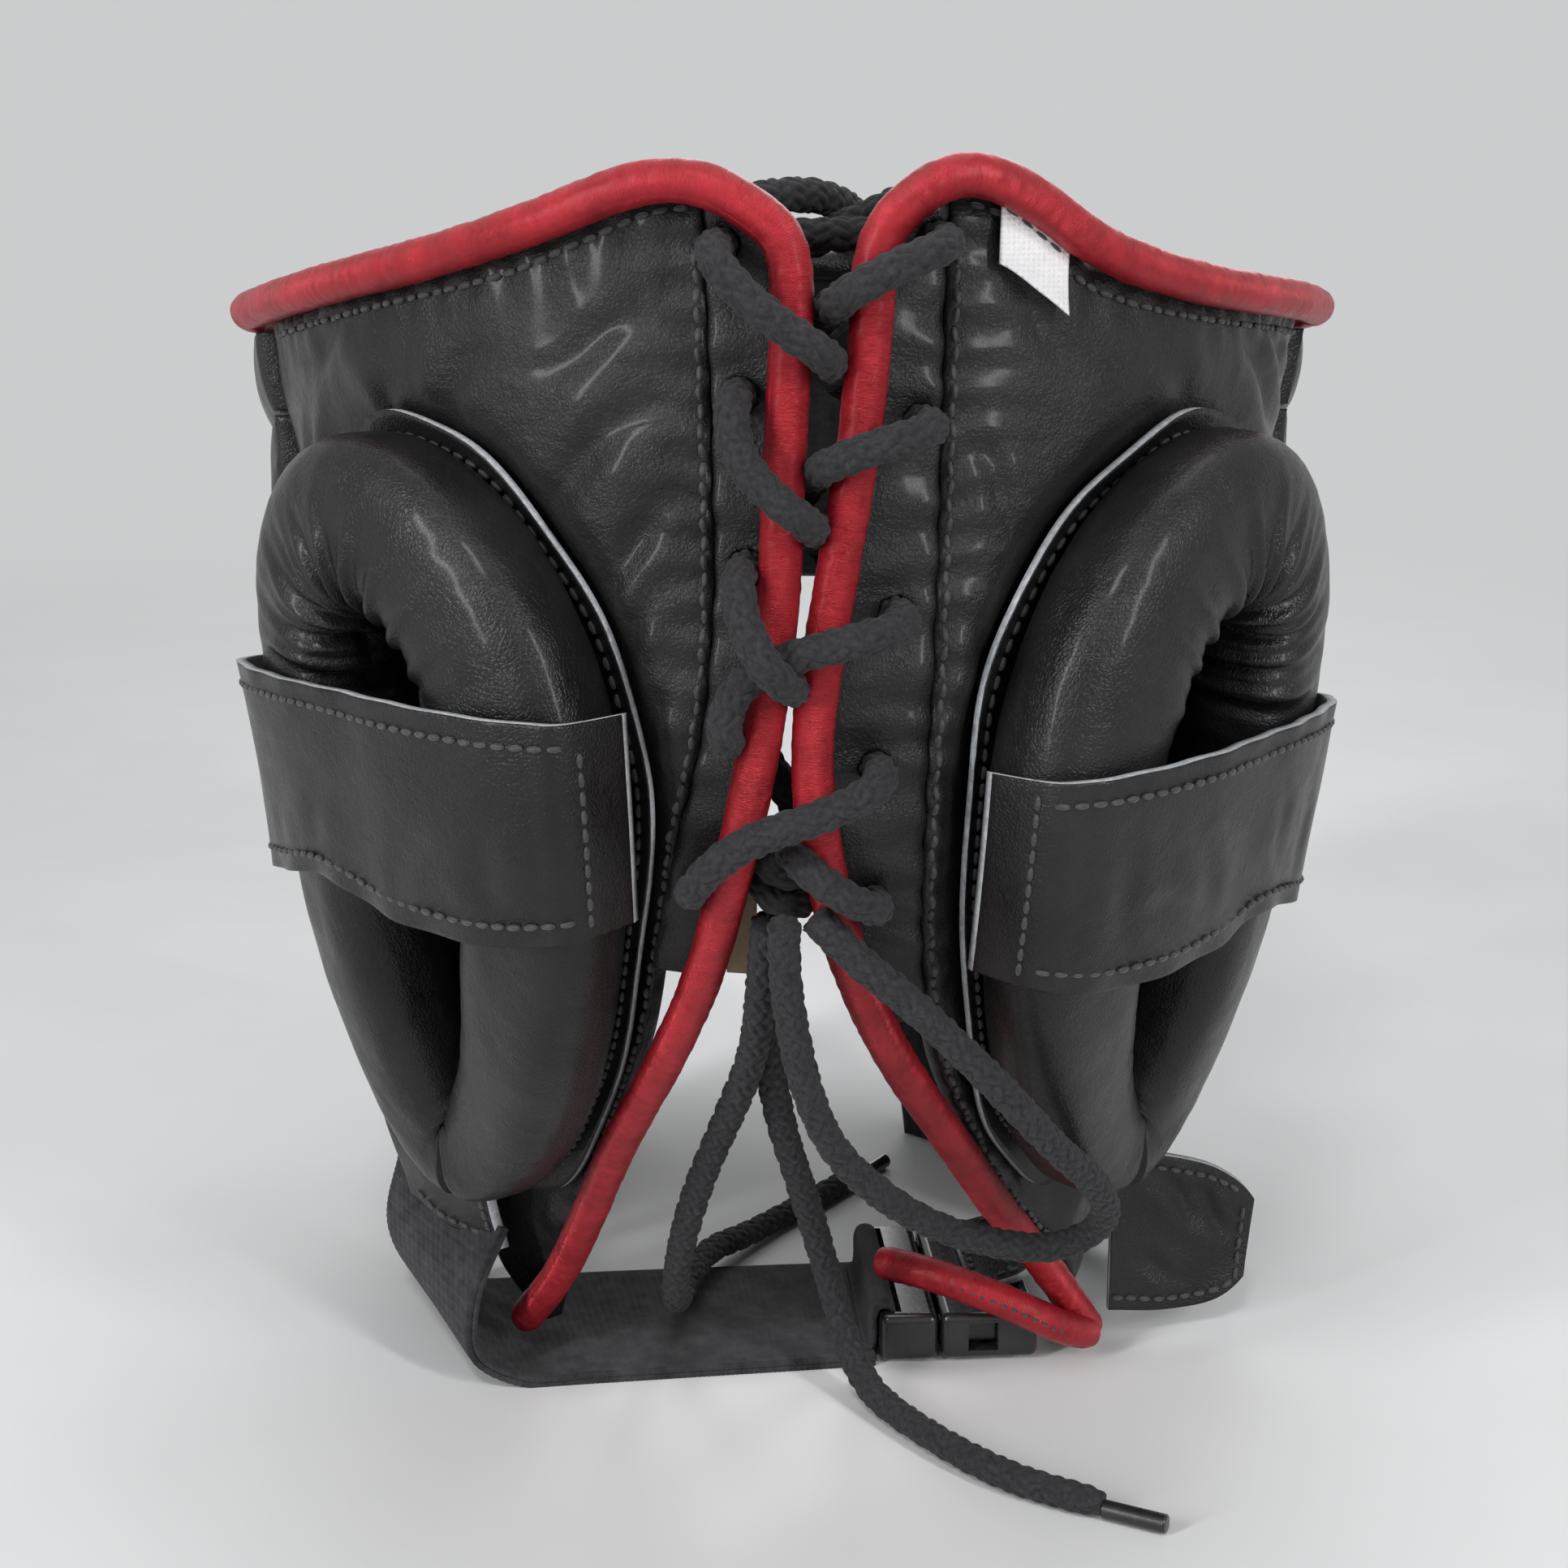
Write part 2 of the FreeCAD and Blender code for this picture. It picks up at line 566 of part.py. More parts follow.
def elastic(low, high):
    """One layer of the chin elastic between two offsets of its middle surface."""
    def middle(s, t):
        back = [smooth([(row[0], row[k]) for row in ELASTIC_BACK], s) for k in (1, 2, 3)]
        front = [smooth([(row[0], row[k]) for row in ELASTIC_FRONT], s) for k in (1, 2, 3)]
        return V(*back) + (V(*front) - V(*back)) * t

    def surface(s, t, off):
        step = 0.01
        along = middle(min(s + step, 1), t) - middle(max(s - step, 0), t)
        across = middle(s, 1) - middle(s, 0)
        return middle(s, t) + along.cross(across).normalize() * off
    return slab(surface, lambda s, t: low, lambda s, t: high, 24, 4)


def buckle():
    """Socket, plug and the two sprung arms of the side-release buckle."""
    y0 = BUCKLE_Y - BUCKLE_WIDTH / 2
    y1 = BUCKLE_Y + BUCKLE_WIDTH / 2
    low = 1.0
    high = low + BUCKLE_HEIGHT
    wall = 2.2
    side_wall = 2.6
    socket = rounded_box(SOCKET_X, (y0, y1), (low, high), 1.8)
    inside = (y0 + side_wall, y1 - side_wall)
    socket = socket.cut(box((SOCKET_X[0] - 1, SOCKET_X[1] - 7), inside, (low + wall, high - wall)))
    socket = socket.cut(box((SOCKET_X[0] + 6, SOCKET_X[1] - 9), (y0 - 1, y1 + 1), (low + wall, high - wall)))
    socket = socket.cut(box((SOCKET_X[1] - 5, SOCKET_X[1] - 2.4), inside, (low - 1, high + 1)))
    plug = rounded_box(PLUG_X, (y0, y1), (low, high), 1.8)
    plug = plug.cut(box((PLUG_X[0] + 2.4, PLUG_X[0] + 5), inside, (low - 1, high + 1)))
    reach = (PLUG_X[1] - 1, PLUG_X[1] + 14)
    guide = box(reach, (BUCKLE_Y - 6, BUCKLE_Y + 6), (low + wall + 0.6, high - wall - 0.6))
    plug = plug.fuse(guide).removeSplitter()
    arms = []
    for way, root in ((1, y0 + side_wall + 0.6), (-1, y1 - side_wall - 0.6)):
        ys = sorted((root, root + way * 4.0))
        arms.append(rounded_box((PLUG_X[1] + 0.4, reach[1]), ys, (low + wall + 0.6, high - wall - 0.6), 0.8))
    return socket, plug, arms


def buckle_strap():
    """Leather strap over the socket's bar, up the inside of the right panel."""
    route = [(0, 40), (0.3, 47), (0.5, 52.5), (0.62, 55.5), (0.75, 57.5), (1, 59)]
    rise = [(0, 13.6), (0.3, 13.6), (0.5, 13.8), (0.62, 15.2), (0.75, 19), (1, 27)]

    def surface(s, t, off):
        step = 0.01
        dx = smooth(route, s + step) - smooth(route, s - step)
        dz = smooth(rise, s + step) - smooth(rise, s - step)
        length = math.hypot(dx, dz)
        y = -22 + 36 * t + (16 - 4 * t) * s
        return V(smooth(route, s) - off * dz / length, y, smooth(rise, s) + off * dx / length)
    return slab(surface, lambda s, t: -0.9, lambda s, t: 0.9, 16, 3)


def left_chin_tab():
    corners = [[(88, 30, 7), (86, 46, 8)], [(126, 36, 11), (132, 64, 11)]]

    def surface(s, t, off):
        w, z, base = [sum(corners[i][j][k] * (s if i else 1 - s) * (t if j else 1 - t)
                          for i in (0, 1) for j in (0, 1)) for k in (0, 1, 2)]
        return on_form(-w, z, base + off)
    return slab(surface, lambda s, t: 0.0, lambda s, t: 2.4, 6, 4)


def right_chin_tab():
    """Rounded leather flap that curls outward below the right ear guard."""
    def surface(s, t, off):
        half = 19.0 * math.sqrt(1 - (0.93 * s) ** 3)
        x = 71.0 + 34.5 * s + 3 * (t - 0.5) * s
        y = -20.6 + 12.5 * s - 5.0 * s * s * (1 - t)
        z = 28.0 - 7 * s + half * (2 * t - 1)
        return V(x, y - off, z)
    return slab(surface, lambda s, t: 0.0, lambda s, t: 2.2, 10, 8)


def size_label():
    """Bare sewn label under the right part of the rim piping."""
    def surface(s, t, off):
        w = 26.0 + 12.5 * s
        return on_form(w, smooth(RIGHT_RIM, w) - 3.6 - 10.5 * (1 - t), 2.2 + off)
    return slab(surface, lambda s, t: 0.0, lambda s, t: 0.6, 3, 3)


def inner_patch():
    """Bare patch sewn inside the left edge of the back opening."""
    def surface(s, t, off):
        return on_form(-14.5 - 6.5 * s, 111.0 + 29.0 * t, off)
    return slab(surface, lambda s, t: -5.4, lambda s, t: -4.7, 3, 3)


shapes = {}
for side, name in ((-1, "left"), (1, "right")):
    slot = ear_slot(side)
    parts = layers(side_where(side), side_outer(side), side_inner(side), 24, 24)
    for layer, solid in zip(("leather", "foam", "lining"), parts):
        shapes[f"{name}_side_{layer}"] = solid.cut(slot)
    for layer, solid in zip(("leather", "foam", "lining"), cheek(side)):
        shapes[f"{name}_cheek_{layer}"] = solid
    shapes[f"{name}_ear_base"] = ear_base(side).cut(slot)
    shapes[f"{name}_ear_roll"] = ear_roll(side)
    shapes[f"{name}_ear_band"] = ear_band(side)
    shapes[f"{name}_lace_facing"] = facing(side)
    shapes[f"{name}_edge_piping"] = edge_piping(side)
for layer, solid in zip(("leather", "foam", "lining"), forehead()):
    shapes[f"forehead_{layer}"] = solid
shapes["front_rim_piping"] = front_piping()
shapes["crown_tongue"] = crown_tongue()
shapes["back_lace"] = tube([on_form(*p) for p in BACK_LACE], LACE_D, "back_lace")
shapes["crown_lace"] = tube(CROWN_LACE, LACE_D, "crown_lace")
shapes["lace_knot"] = lace_knot()
shapes["lace_loop"] = tube(LACE_LOOP, LACE_D, "lace_loop")
shapes["lace_tail_long"] = tube(TAIL_LONG, LACE_D, "lace_tail_long")
shapes["lace_tail_short"] = tube(TAIL_SHORT, LACE_D, "lace_tail_short")
shapes["aglet_long"] = aglet(TAIL_LONG, 13.0, 3.8)
shapes["aglet_short"] = aglet(TAIL_SHORT, 13.0, 3.8)
shapes["right_piping_tail"] = tube(PIPING_TAIL, PIPING_D, "right_piping_tail")
shapes["left_chin_tab"] = left_chin_tab()
shapes["right_chin_tab"] = right_chin_tab()
shapes["chin_elastic_inner"] = elastic(0.1, 0.1 + ELASTIC_THICKNESS)
shapes["chin_elastic_outer"] = elastic(-0.1 - ELASTIC_THICKNESS, -0.1)
socket, plug, arms = buckle()
shapes["buckle_socket"] = socket
shapes["buckle_plug"] = plug
shapes["back_release_arm"] = arms[0]
shapes["front_release_arm"] = arms[1]
shapes["buckle_strap"] = buckle_strap()
shapes["size_label"] = size_label()
shapes["inner_patch"] = inner_patch()

floor = box((-200, 200), (-200, 200), (-20, 0))
for name in ("left_cheek", "right_cheek"):
    for layer in ("leather", "foam", "lining"):
        shapes[f"{name}_{layer}"] = shapes[f"{name}_{layer}"].cut(floor)
for name in ("left_edge_piping", "right_edge_piping"):
    shapes[name] = shapes[name].cut(floor)

for name, solid in shapes.items():
    solid.translate(ORIGIN)
    solid.exportStep(f"parts/{name}.step")
    low = solid.BoundBox
    print(f"{name:22s} valid {solid.isValid()} solids {len(solid.Solids)} volume {solid.Volume / 1000:8.2f} cm3 "
          f"x {low.XMin:.0f} {low.XMax:.0f} y {low.YMin:.0f} {low.YMax:.0f} z {low.ZMin:.1f} {low.ZMax:.1f}")
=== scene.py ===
# Boxing headgear that laces up the back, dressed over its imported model.
# +Y is the face side, -Y the laced back, +X the wearer's right, +Z up.
import bmesh
import bpy
import math
import numpy as np
from mathutils import Euler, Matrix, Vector, noise


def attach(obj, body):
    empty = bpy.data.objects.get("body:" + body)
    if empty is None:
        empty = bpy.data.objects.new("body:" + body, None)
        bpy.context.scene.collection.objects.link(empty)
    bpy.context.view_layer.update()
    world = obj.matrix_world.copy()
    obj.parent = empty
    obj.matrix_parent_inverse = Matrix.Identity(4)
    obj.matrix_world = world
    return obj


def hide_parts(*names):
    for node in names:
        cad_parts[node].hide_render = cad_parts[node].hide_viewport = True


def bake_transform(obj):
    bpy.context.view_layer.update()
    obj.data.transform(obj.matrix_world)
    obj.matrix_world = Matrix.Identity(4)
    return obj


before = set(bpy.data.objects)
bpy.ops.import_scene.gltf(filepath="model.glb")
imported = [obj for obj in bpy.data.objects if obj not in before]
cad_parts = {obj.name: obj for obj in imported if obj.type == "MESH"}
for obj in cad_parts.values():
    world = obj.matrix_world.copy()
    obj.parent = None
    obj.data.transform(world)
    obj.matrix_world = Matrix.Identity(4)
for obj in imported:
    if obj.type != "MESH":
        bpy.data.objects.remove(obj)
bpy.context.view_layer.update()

# Shapes are worked out in millimetres about the head's axis, then put in the frame in metres
MM = 0.001
SHIFT_Y = -8.4

# Head form: half outline of the outer leather at mid height, and how it narrows with height
HALF_PLAN = [(0, -103), (30, -96), (58, -78), (82, -48), (97, -12),
             (102, 25), (98, 62), (82, 95), (48, 119), (0, 128)]
FORM_Y = 25.0
WIDTH_AT_Z = [(0, 0.72), (50, 0.825), (100, 0.912), (150, 0.965), (200, 1.04), (260, 1.143)]
DEPTH_AT_Z = [(0, 0.44), (10, 0.47), (50, 0.62), (100, 0.86), (150, 1.0), (200, 1.0), (262, 0.98)]

# Edges of the back opening, seams and rim, as distances round the form and heights
LEFT_EDGE = [(5, 88), (16, 79), (44, 57.5), (70, 44), (93, 31.3), (113, 22.9), (148, 14.8),
             (166, 11), (192, 8), (220, 7.2), (240, 5.6), (247, 6.4), (255, 11)]
RIGHT_EDGE = [(5, 92), (18, 84), (44, 52), (70, 31), (94, 14.3), (114, 5), (130, 0.4), (154, -4.4),
              (167, -3.2), (192, 0.8), (220, 4.8), (242, 6), (251, 6.4), (257, 10)]
LEFT_SEAM = [(5, 93), (16, 84), (44, 64), (70, 52), (93, 41), (113, 36), (135, 31), (160, 24),
             (180, 21), (200, 20), (256, 19.5)]
RIGHT_SEAM = [(5, 98.2), (18, 90.2), (44, 58.7), (70, 38.2), (90, 26.7), (112, 21.4), (135, 19.3),
              (165, 19), (200, 19), (256, 18.5)]
LEFT_RIM = [(11, 252), (20, 257.3), (28, 256.8), (38, 252.6), (55, 246.2), (85, 240.2), (117, 235),
            (150, 231), (200, 227), (345, 223)]
RIGHT_RIM = [(10, 253.5), (18, 258.5), (26, 257), (34, 251.5), (44, 244.5), (62, 239.5), (90, 236),
             (120, 233.5), (150, 231), (200, 227), (345, 223)]
RIM_THICKNESS = 6.0
PAD_THICKNESS = 20.0
CHEEK_DEPTH = 16.0
PIPING_D = 7.8
PIPING_OFF = 4.4
LACE_D = 6.4
HOLE_R = 3.4
SIDE_FRONT_W = 152.0
PAD_BACK_W = 156.0
SIDE_CROWN = 4.0
CHEEK_CROWN = 15.0
CHEEK_LIFT = 3.0
FOREHEAD_CROWN = 9.0

# Ear guards
LEFT_EAR_W = 84.0
RIGHT_EAR_W = 76.0
EAR_Z = 148.0
EAR_UP = 51.0
EAR_DOWN = 88.0
EAR_HALF = 34.0
EAR_DIP = 11.0
BASE_MARGIN = 18.0
BASE_LIFT = 0.9
BASE_THICKNESS = 1.9
BAND_REAR_HEIGHT = 40.0
BAND_FRONT_HEIGHT = 46.0


# Curves and the head form
def smooth(points, x):
    """Values at x of a smooth curve through points, which are (x, value) in rising x."""
    xs = np.array([p[0] for p in points], float)
    ys = np.array([p[1] for p in points], float)
    before = np.maximum(np.arange(len(xs)) - 1, 0)
    after = np.minimum(np.arange(len(xs)) + 1, len(xs) - 1)
    slopes = (ys[after] - ys[before]) / (xs[after] - xs[before])
    x = np.clip(np.asarray(x, float), xs[0], xs[-1])
    i = np.clip(np.searchsorted(xs, x, side="right") - 1, 0, len(xs) - 2)
    step = xs[i + 1] - xs[i]
    t = (x - xs[i]) / step
    start = (2 * t ** 3 - 3 * t ** 2 + 1) * ys[i] + (t ** 3 - 2 * t ** 2 + t) * step * slopes[i]
    end = (3 * t ** 2 - 2 * t ** 3) * ys[i + 1] + (t ** 3 - t ** 2) * step * slopes[i + 1]
    return start + end


def plan_curve():
    """The half outline as rows of distance, x and y, close together along a smooth curve."""
    ends = [(-HALF_PLAN[1][0], HALF_PLAN[1][1])] + HALF_PLAN + [(-HALF_PLAN[-2][0], HALF_PLAN[-2][1])]
    rows = [(0.0, HALF_PLAN[0][0], HALF_PLAN[0][1])]
    for i in range(1, len(ends) - 2):
        a, b, c, d = (np.array(p, float) for p in ends[i - 1:i + 3])
        for t in np.linspace(0, 1, 31)[1:]:
            x, y = 0.5 * (2 * b + (c - a) * t + (2 * a - 5 * b + 4 * c - d) * t ** 2
                          + (3 * b - a - 3 * c + d) * t ** 3)
            rows.append((rows[-1][0] + math.hypot(x - rows[-1][1], y - rows[-1][2]), x, y))
    return np.array(rows)


PLAN = plan_curve()
HALF_ROUND = PLAN[-1, 0]


def on_form(w, z, off=0.0):
    """Points at distance w round the form (minus is the wearer's left), height z, off outside it."""
    w, z, off = np.broadcast_arrays(np.asarray(w, float), np.asarray(z, float), np.asarray(off, float))
    side = np.where(w >= 0, 1.0, -1.0)
    w = np.abs(w)
    side = np.where(w > HALF_ROUND, -side, side)
    w = np.where(w > HALF_ROUND, 2 * HALF_ROUND - w, w)

    def plan_at(at):
        at = np.clip(at, 0.0, HALF_ROUND)
        return np.interp(at, PLAN[:, 0], PLAN[:, 1]), np.interp(at, PLAN[:, 0], PLAN[:, 2])
    x, y = plan_at(w)
    x0, y0 = plan_at(w - 1.0)
    x1, y1 = plan_at(w + 1.0)
    length = np.hypot(x1 - x0, y1 - y0)
    nx = (y1 - y0) / length
    ny = -(x1 - x0) / length
    x = x * smooth(WIDTH_AT_Z, z)
    y = np.where(y < FORM_Y, FORM_Y + (y - FORM_Y) * smooth(DEPTH_AT_Z, z), y)
    return np.stack([side * (x + nx * off), y + ny * off, z], -1)


def crown(s, t, sharp=0.8):
    return np.maximum(np.sin(np.pi * s) * np.sin(np.pi * t), 0.0) ** sharp


def rough(points, size, seed=0.0):
    """Smooth noise from -1 to 1 at each point, whose lumps are about size across."""
    flat = np.reshape(points, (-1, 3)) / size + seed
    values = np.array([noise.noise(Vector(p)) for p in flat])
    return values.reshape(np.shape(points)[:-1])


def creases(w, z, lines):
    """Depth of creases at (w, z); each line is (w0, z0, w1, z1, depth, width)."""
    total = np.zeros(np.shape(w))
    for w0, z0, w1, z1, depth, width in lines:
        length = math.hypot(w1 - w0, z1 - z0)
        ux = (w1 - w0) / length
        uz = (z1 - z0) / length
        along = (w - w0) * ux + (z - z0) * uz
        aside = (w - w0) * uz - (z - z0) * ux + 1.6 * np.sin(along * 6.0 / length)
        end = np.clip(1 - ((along / length - 0.5) / 0.62) ** 2, 0, 1) ** 1.5
        banks = 0.75 * np.exp(-((aside / (2.2 * width)) ** 2))
        total += depth * end * (banks - 1.5 * np.exp(-((aside / width) ** 2)))
    return total


# Mesh helpers
def mesh_piece(name, points, faces, materials, face_slots=None, uvs=None,
               body="root", replaces=(), slot=None):
    """A smooth mesh object from points in millimetres, which rides on a body."""
    mesh = bpy.data.meshes.new(name)
    points = np.reshape(points, (-1, 3))
    placed = (points + (0.0, SHIFT_Y, 0.0)) * MM
    mesh.from_pydata(placed.tolist(), [], faces)
    mesh.polygons.foreach_set("use_smooth", [True] * len(faces))
    if face_slots is not None:
        mesh.polygons.foreach_set("material_index", face_slots)
    if uvs is not None:
        layer = mesh.uv_layers.new(name="UVMap")
        loops = np.empty(len(mesh.loops), np.int32)
        mesh.loops.foreach_get("vertex_index", loops)
        layer.data.foreach_set("uv", np.reshape(uvs, (-1, 2))[loops].ravel())
    mesh.validate()
    shell = bmesh.new()
    shell.from_mesh(mesh)
    bmesh.ops.recalc_face_normals(shell, faces=shell.faces)
    shell.to_mesh(mesh)
    shell.free()
    mesh.update()
    piece = bpy.data.objects.new(name, mesh)
    bpy.context.scene.collection.objects.link(piece)
    for material in materials:
        mesh.materials.append(material)
    if body:
        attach(piece, body)
    if replaces:
        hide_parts(*replaces)
    return piece


def grid_faces(rows, columns, start=0, closed=False):
    faces = []
    wrap = columns if closed else columns - 1
    for i in range(rows - 1):
        for j in range(wrap):
            a = start + i * columns + j
            b = start + i * columns + (j + 1) % columns
            faces.append((a, b, b + columns, a + columns))
    return faces


def sheet_solid(name, outer, inner, materials, hole=None, closed=False, **ride):
    """Closed solid between two grids of the same size: outer is material 0, inner 1, edges 2."""
    rows, columns = outer.shape[:2]
    count = rows * columns
    kept = grid_faces(rows, columns, 0, closed)
    if hole is not None:
        kept = [f for f in kept if not hole[f[0] // columns, f[0] % columns]]
    faces = list(kept)
    slots = [0] * len(kept)
    faces += [tuple(v + count for v in f[::-1]) for f in kept]
    slots += [1] * len(kept)
    edges = {}
    for f in kept:
        for a, b in zip(f, f[1:] + f[:1]):
            edges[(a, b)] = True
    for a, b in edges:
        if (b, a) not in edges:
            faces.append((b, a, a + count, b + count))
            slots.append(2)
    points = np.concatenate([outer.reshape(-1, 3), inner.reshape(-1, 3)])
    s, t = np.meshgrid(np.arange(rows), np.arange(columns), indexing="ij")
    uv = np.stack([s, t], -1).reshape(-1, 2) / max(rows, columns)
    return mesh_piece(name, points, faces, materials, slots, np.concatenate([uv, uv]), **ride)


def nurbs_line(points, detail=14):
    """Points along a smooth NURBS spline whose control points are these, in millimetres."""
    curve = bpy.data.curves.new("route", "CURVE")
    curve.dimensions = "3D"
    curve.resolution_u = detail
    spline = curve.splines.new("NURBS")
    spline.points.add(len(points) - 1)
    for knot, p in zip(spline.points, points):
        knot.co = (p[0] * MM, (p[1] + SHIFT_Y) * MM, p[2] * MM, 1.0)
    spline.order_u = 3
    spline.use_endpoint_u = True
    carrier = bpy.data.objects.new("route", curve)
    bpy.context.scene.collection.objects.link(carrier)
    line = bpy.data.meshes.new_from_object(carrier)
    path = np.array([v.co for v in line.vertices]) / MM - (0.0, SHIFT_Y, 0.0)
    bpy.data.objects.remove(carrier)
    bpy.data.meshes.remove(line)
    return path


def even(path, step):
    """The same line with points at even steps."""
    path = np.asarray(path, float)
    run = np.concatenate([[0], np.cumsum(np.linalg.norm(np.diff(path, axis=0), axis=1))])
    count = max(int(run[-1] / step), 4)
    at = np.linspace(0, run[-1], count + 1)
    return np.stack([np.interp(at, run, path[:, k]) for k in range(3)], -1), at


def frames(path):
    """Two directions across a line at each of its points, turned as little as can be."""
    along = np.gradient(path, axis=0)
    along /= np.linalg.norm(along, axis=1)[:, None]
    side = np.cross(along[0], (0.0, 0.0, 1.0))
    if np.linalg.norm(side) < 0.1:
        side = np.cross(along[0], (1.0, 0.0, 0.0))
    sides = []
    for a in along:
        side = side - a * np.dot(side, a)
        side = side / np.linalg.norm(side)
        sides.append(side)
    sides = np.array(sides)
    return sides, np.cross(along, sides), along


def sweep(name, path, at, radius, around, materials, **ride):
    """Closed tube along a path; radius is a grid of radii by point and by angle."""
    sides, ups, along = frames(path)
    angles = np.linspace(0, 2 * np.pi, around, endpoint=False)
    ring = (np.cos(angles)[None, :, None] * sides[:, None, :]
            + np.sin(angles)[None, :, None] * ups[:, None, :])
    points = path[:, None, :] + ring * radius[:, :, None]
    rows = len(path)
    faces = grid_faces(rows, around, 0, True)
    ends = np.stack([path[0], path[-1]])
    last = rows * around
    for j in range(around):
        k = (j + 1) % around
        faces.append((j, k, last))
        faces.append(((rows - 1) * around + k, (rows - 1) * around + j, last + 1))
    uv = np.stack(np.broadcast_arrays(angles[None, :] / (2 * np.pi), at[:, None] / 20.0), -1).reshape(-1, 2)
    uv = np.concatenate([uv, [[0, 0], [0, at[-1] / 20.0]]])
    everything = np.concatenate([points.reshape(-1, 3), ends])
    return mesh_piece(name, everything, faces, materials, None, uv, **ride)


def stitches(name, lines, material, body="root", length=2.5, gap=1.1, thick=0.62):
    """Rows of thread stitches, each a short lens lying along its line."""
    points = []
    faces = []
    around = 6
    for line in lines:
        path, at = even(line, 0.25)
        step = int((length + gap) / 0.25)
        reach = int(length / 0.25)
        for i in range(0, len(path) - reach - 1, step):
            middle = path[i:i + reach + 1]
            sides, ups, along = frames(middle[::2])
            base = len(points)
            rows = len(middle[::2])
            for k, centre in enumerate(middle[::2]):
                swell = thick * math.sin(math.pi * (0.08 + 0.84 * k / (rows - 1))) ** 0.5
                for j in range(around):
                    a = 2 * math.pi * j / around
                    points.append(centre + swell * (math.cos(a) * sides[k] + math.sin(a) * ups[k]))
            faces += grid_faces(rows, around, base, True)
            faces.append(tuple(base + j for j in range(around)))
            faces.append(tuple(base + (rows - 1) * around + j for j in range(around))[::-1])
    return mesh_piece(name, np.array(points), faces, [material], body=body)


# Camera
FOV = 36.0
CAMERA_MM = (-37.27, -518.66, 255.0)
camera_data = bpy.data.cameras.new("camera")
camera_data.sensor_fit = "HORIZONTAL"
camera_data.angle = math.radians(FOV)
camera_data.clip_start = 0.01
camera = bpy.data.objects.new("camera", camera_data)
camera.location = (CAMERA_MM[0] * MM, (CAMERA_MM[1] + SHIFT_Y) * MM, CAMERA_MM[2] * MM)
camera.rotation_euler = Euler((math.radians(76.2), 0.0, math.radians(-4.0)))
bpy.context.scene.collection.objects.link(camera)
bpy.context.scene.camera = camera


# Materials
class Nodes:
    """Small helper that adds and links shader nodes."""

    def __init__(self, name):
        self.material = bpy.data.materials.new(name)
        self.material.use_nodes = True
        self.tree = self.material.node_tree
        self.shader = self.tree.nodes["Principled BSDF"]
        self.where = self.tree.nodes.new("ShaderNodeTexCoord")

    def add(self, kind, **values):
        node = self.tree.nodes.new(kind)
        for key, value in values.items():
            if key in node.inputs:
                node.inputs[key].default_value = value
            else:
                setattr(node, key, value)
        return node

    def link(self, a, b):
        self.tree.links.new(a, b)

    def mapped(self, scale=(1, 1, 1), source="Object"):
        node = self.add("ShaderNodeMapping")
        node.inputs["Scale"].default_value = scale
        self.link(self.where.outputs[source], node.inputs["Vector"])
        return node.outputs["Vector"]

    def noise(self, scale, detail=4.0, vector=None, roughness=0.6):
        node = self.add("ShaderNodeTexNoise", Scale=scale, Detail=detail, Roughness=roughness)
        self.link(vector or self.where.outputs["Object"], node.inputs["Vector"])
        return node.outputs["Fac"]

    def cells(self, scale, vector=None):
        node = self.add("ShaderNodeTexVoronoi", Scale=scale, feature="DISTANCE_TO_EDGE")
        self.link(vector or self.where.outputs["Object"], node.inputs["Vector"])
        return node.outputs["Distance"]

    def ramp(self, value, *stops):
        node = self.add("ShaderNodeValToRGB")
        while len(node.color_ramp.elements) < len(stops):
            node.color_ramp.elements.new(0.5)
        for element, (place, colour) in zip(node.color_ramp.elements, stops):
            element.position = place
            element.color = tuple(colour) + (1.0,) if hasattr(colour, "__len__") else (colour,) * 3 + (1.0,)
        self.link(value, node.inputs["Fac"])
        return node.outputs["Color"]

    def bump(self, value, strength, distance, under=None):
        node = self.add("ShaderNodeBump", Strength=strength, Distance=distance)
        self.link(value, node.inputs["Height"])
        if under is not None:
            self.link(under, node.inputs["Normal"])
        return node.outputs["Normal"]

    def finish(self, colour=None, roughness=None, normal=None, **fixed):
        for key, value in fixed.items():
            self.shader.inputs[key.replace("_", " ")].default_value = value
        if colour is not None:
            self.link(colour, self.shader.inputs["Base Color"])
        if roughness is not None:
            self.link(roughness, self.shader.inputs["Roughness"])
        if normal is not None:
            self.link(normal, self.shader.inputs["Normal"])
        return self.material


def leather(name, dark, light, shine=0.30, crinkle=0.6):
    """Grained leather: pebbled cells, fine creases and slightly paler patches at random."""
    n = Nodes(name)
    pale_mottle = n.noise(38.0, 6.0)
    colour = n.ramp(pale_mottle, (0.35, dark), (0.72, light))
    gloss = n.ramp(n.noise(90.0, 5.0), (0.3, shine - 0.07), (0.75, shine + 0.12))
    big = n.bump(n.noise(150.0, 8.0, None, 0.62), crinkle, 0.0009)
    grain = n.bump(n.ramp(n.cells(1150.0), (0.0, 0.0), (0.22, 1.0)), 0.34, 0.00018, big)
    fine = n.bump(n.noise(2600.0, 3.0), 0.25, 0.0001, grain)
    return n.finish(colour, gloss, fine, Coat_Weight=0.08, Coat_Roughness=0.15, Specular_IOR_Level=0.24)


def suede(name, dark, light):
    """Raw cut edge of split leather, pale and fibrous."""
    n = Nodes(name)
    colour = n.ramp(n.noise(700.0, 8.0, None, 0.7), (0.32, dark), (0.68, light))
    fibre = n.bump(n.noise(1900.0, 8.0, None, 0.75), 0.9, 0.0004)
    return n.finish(colour, None, fibre, Roughness=0.92, Sheen_Weight=0.25, Sheen_Roughness=0.5)


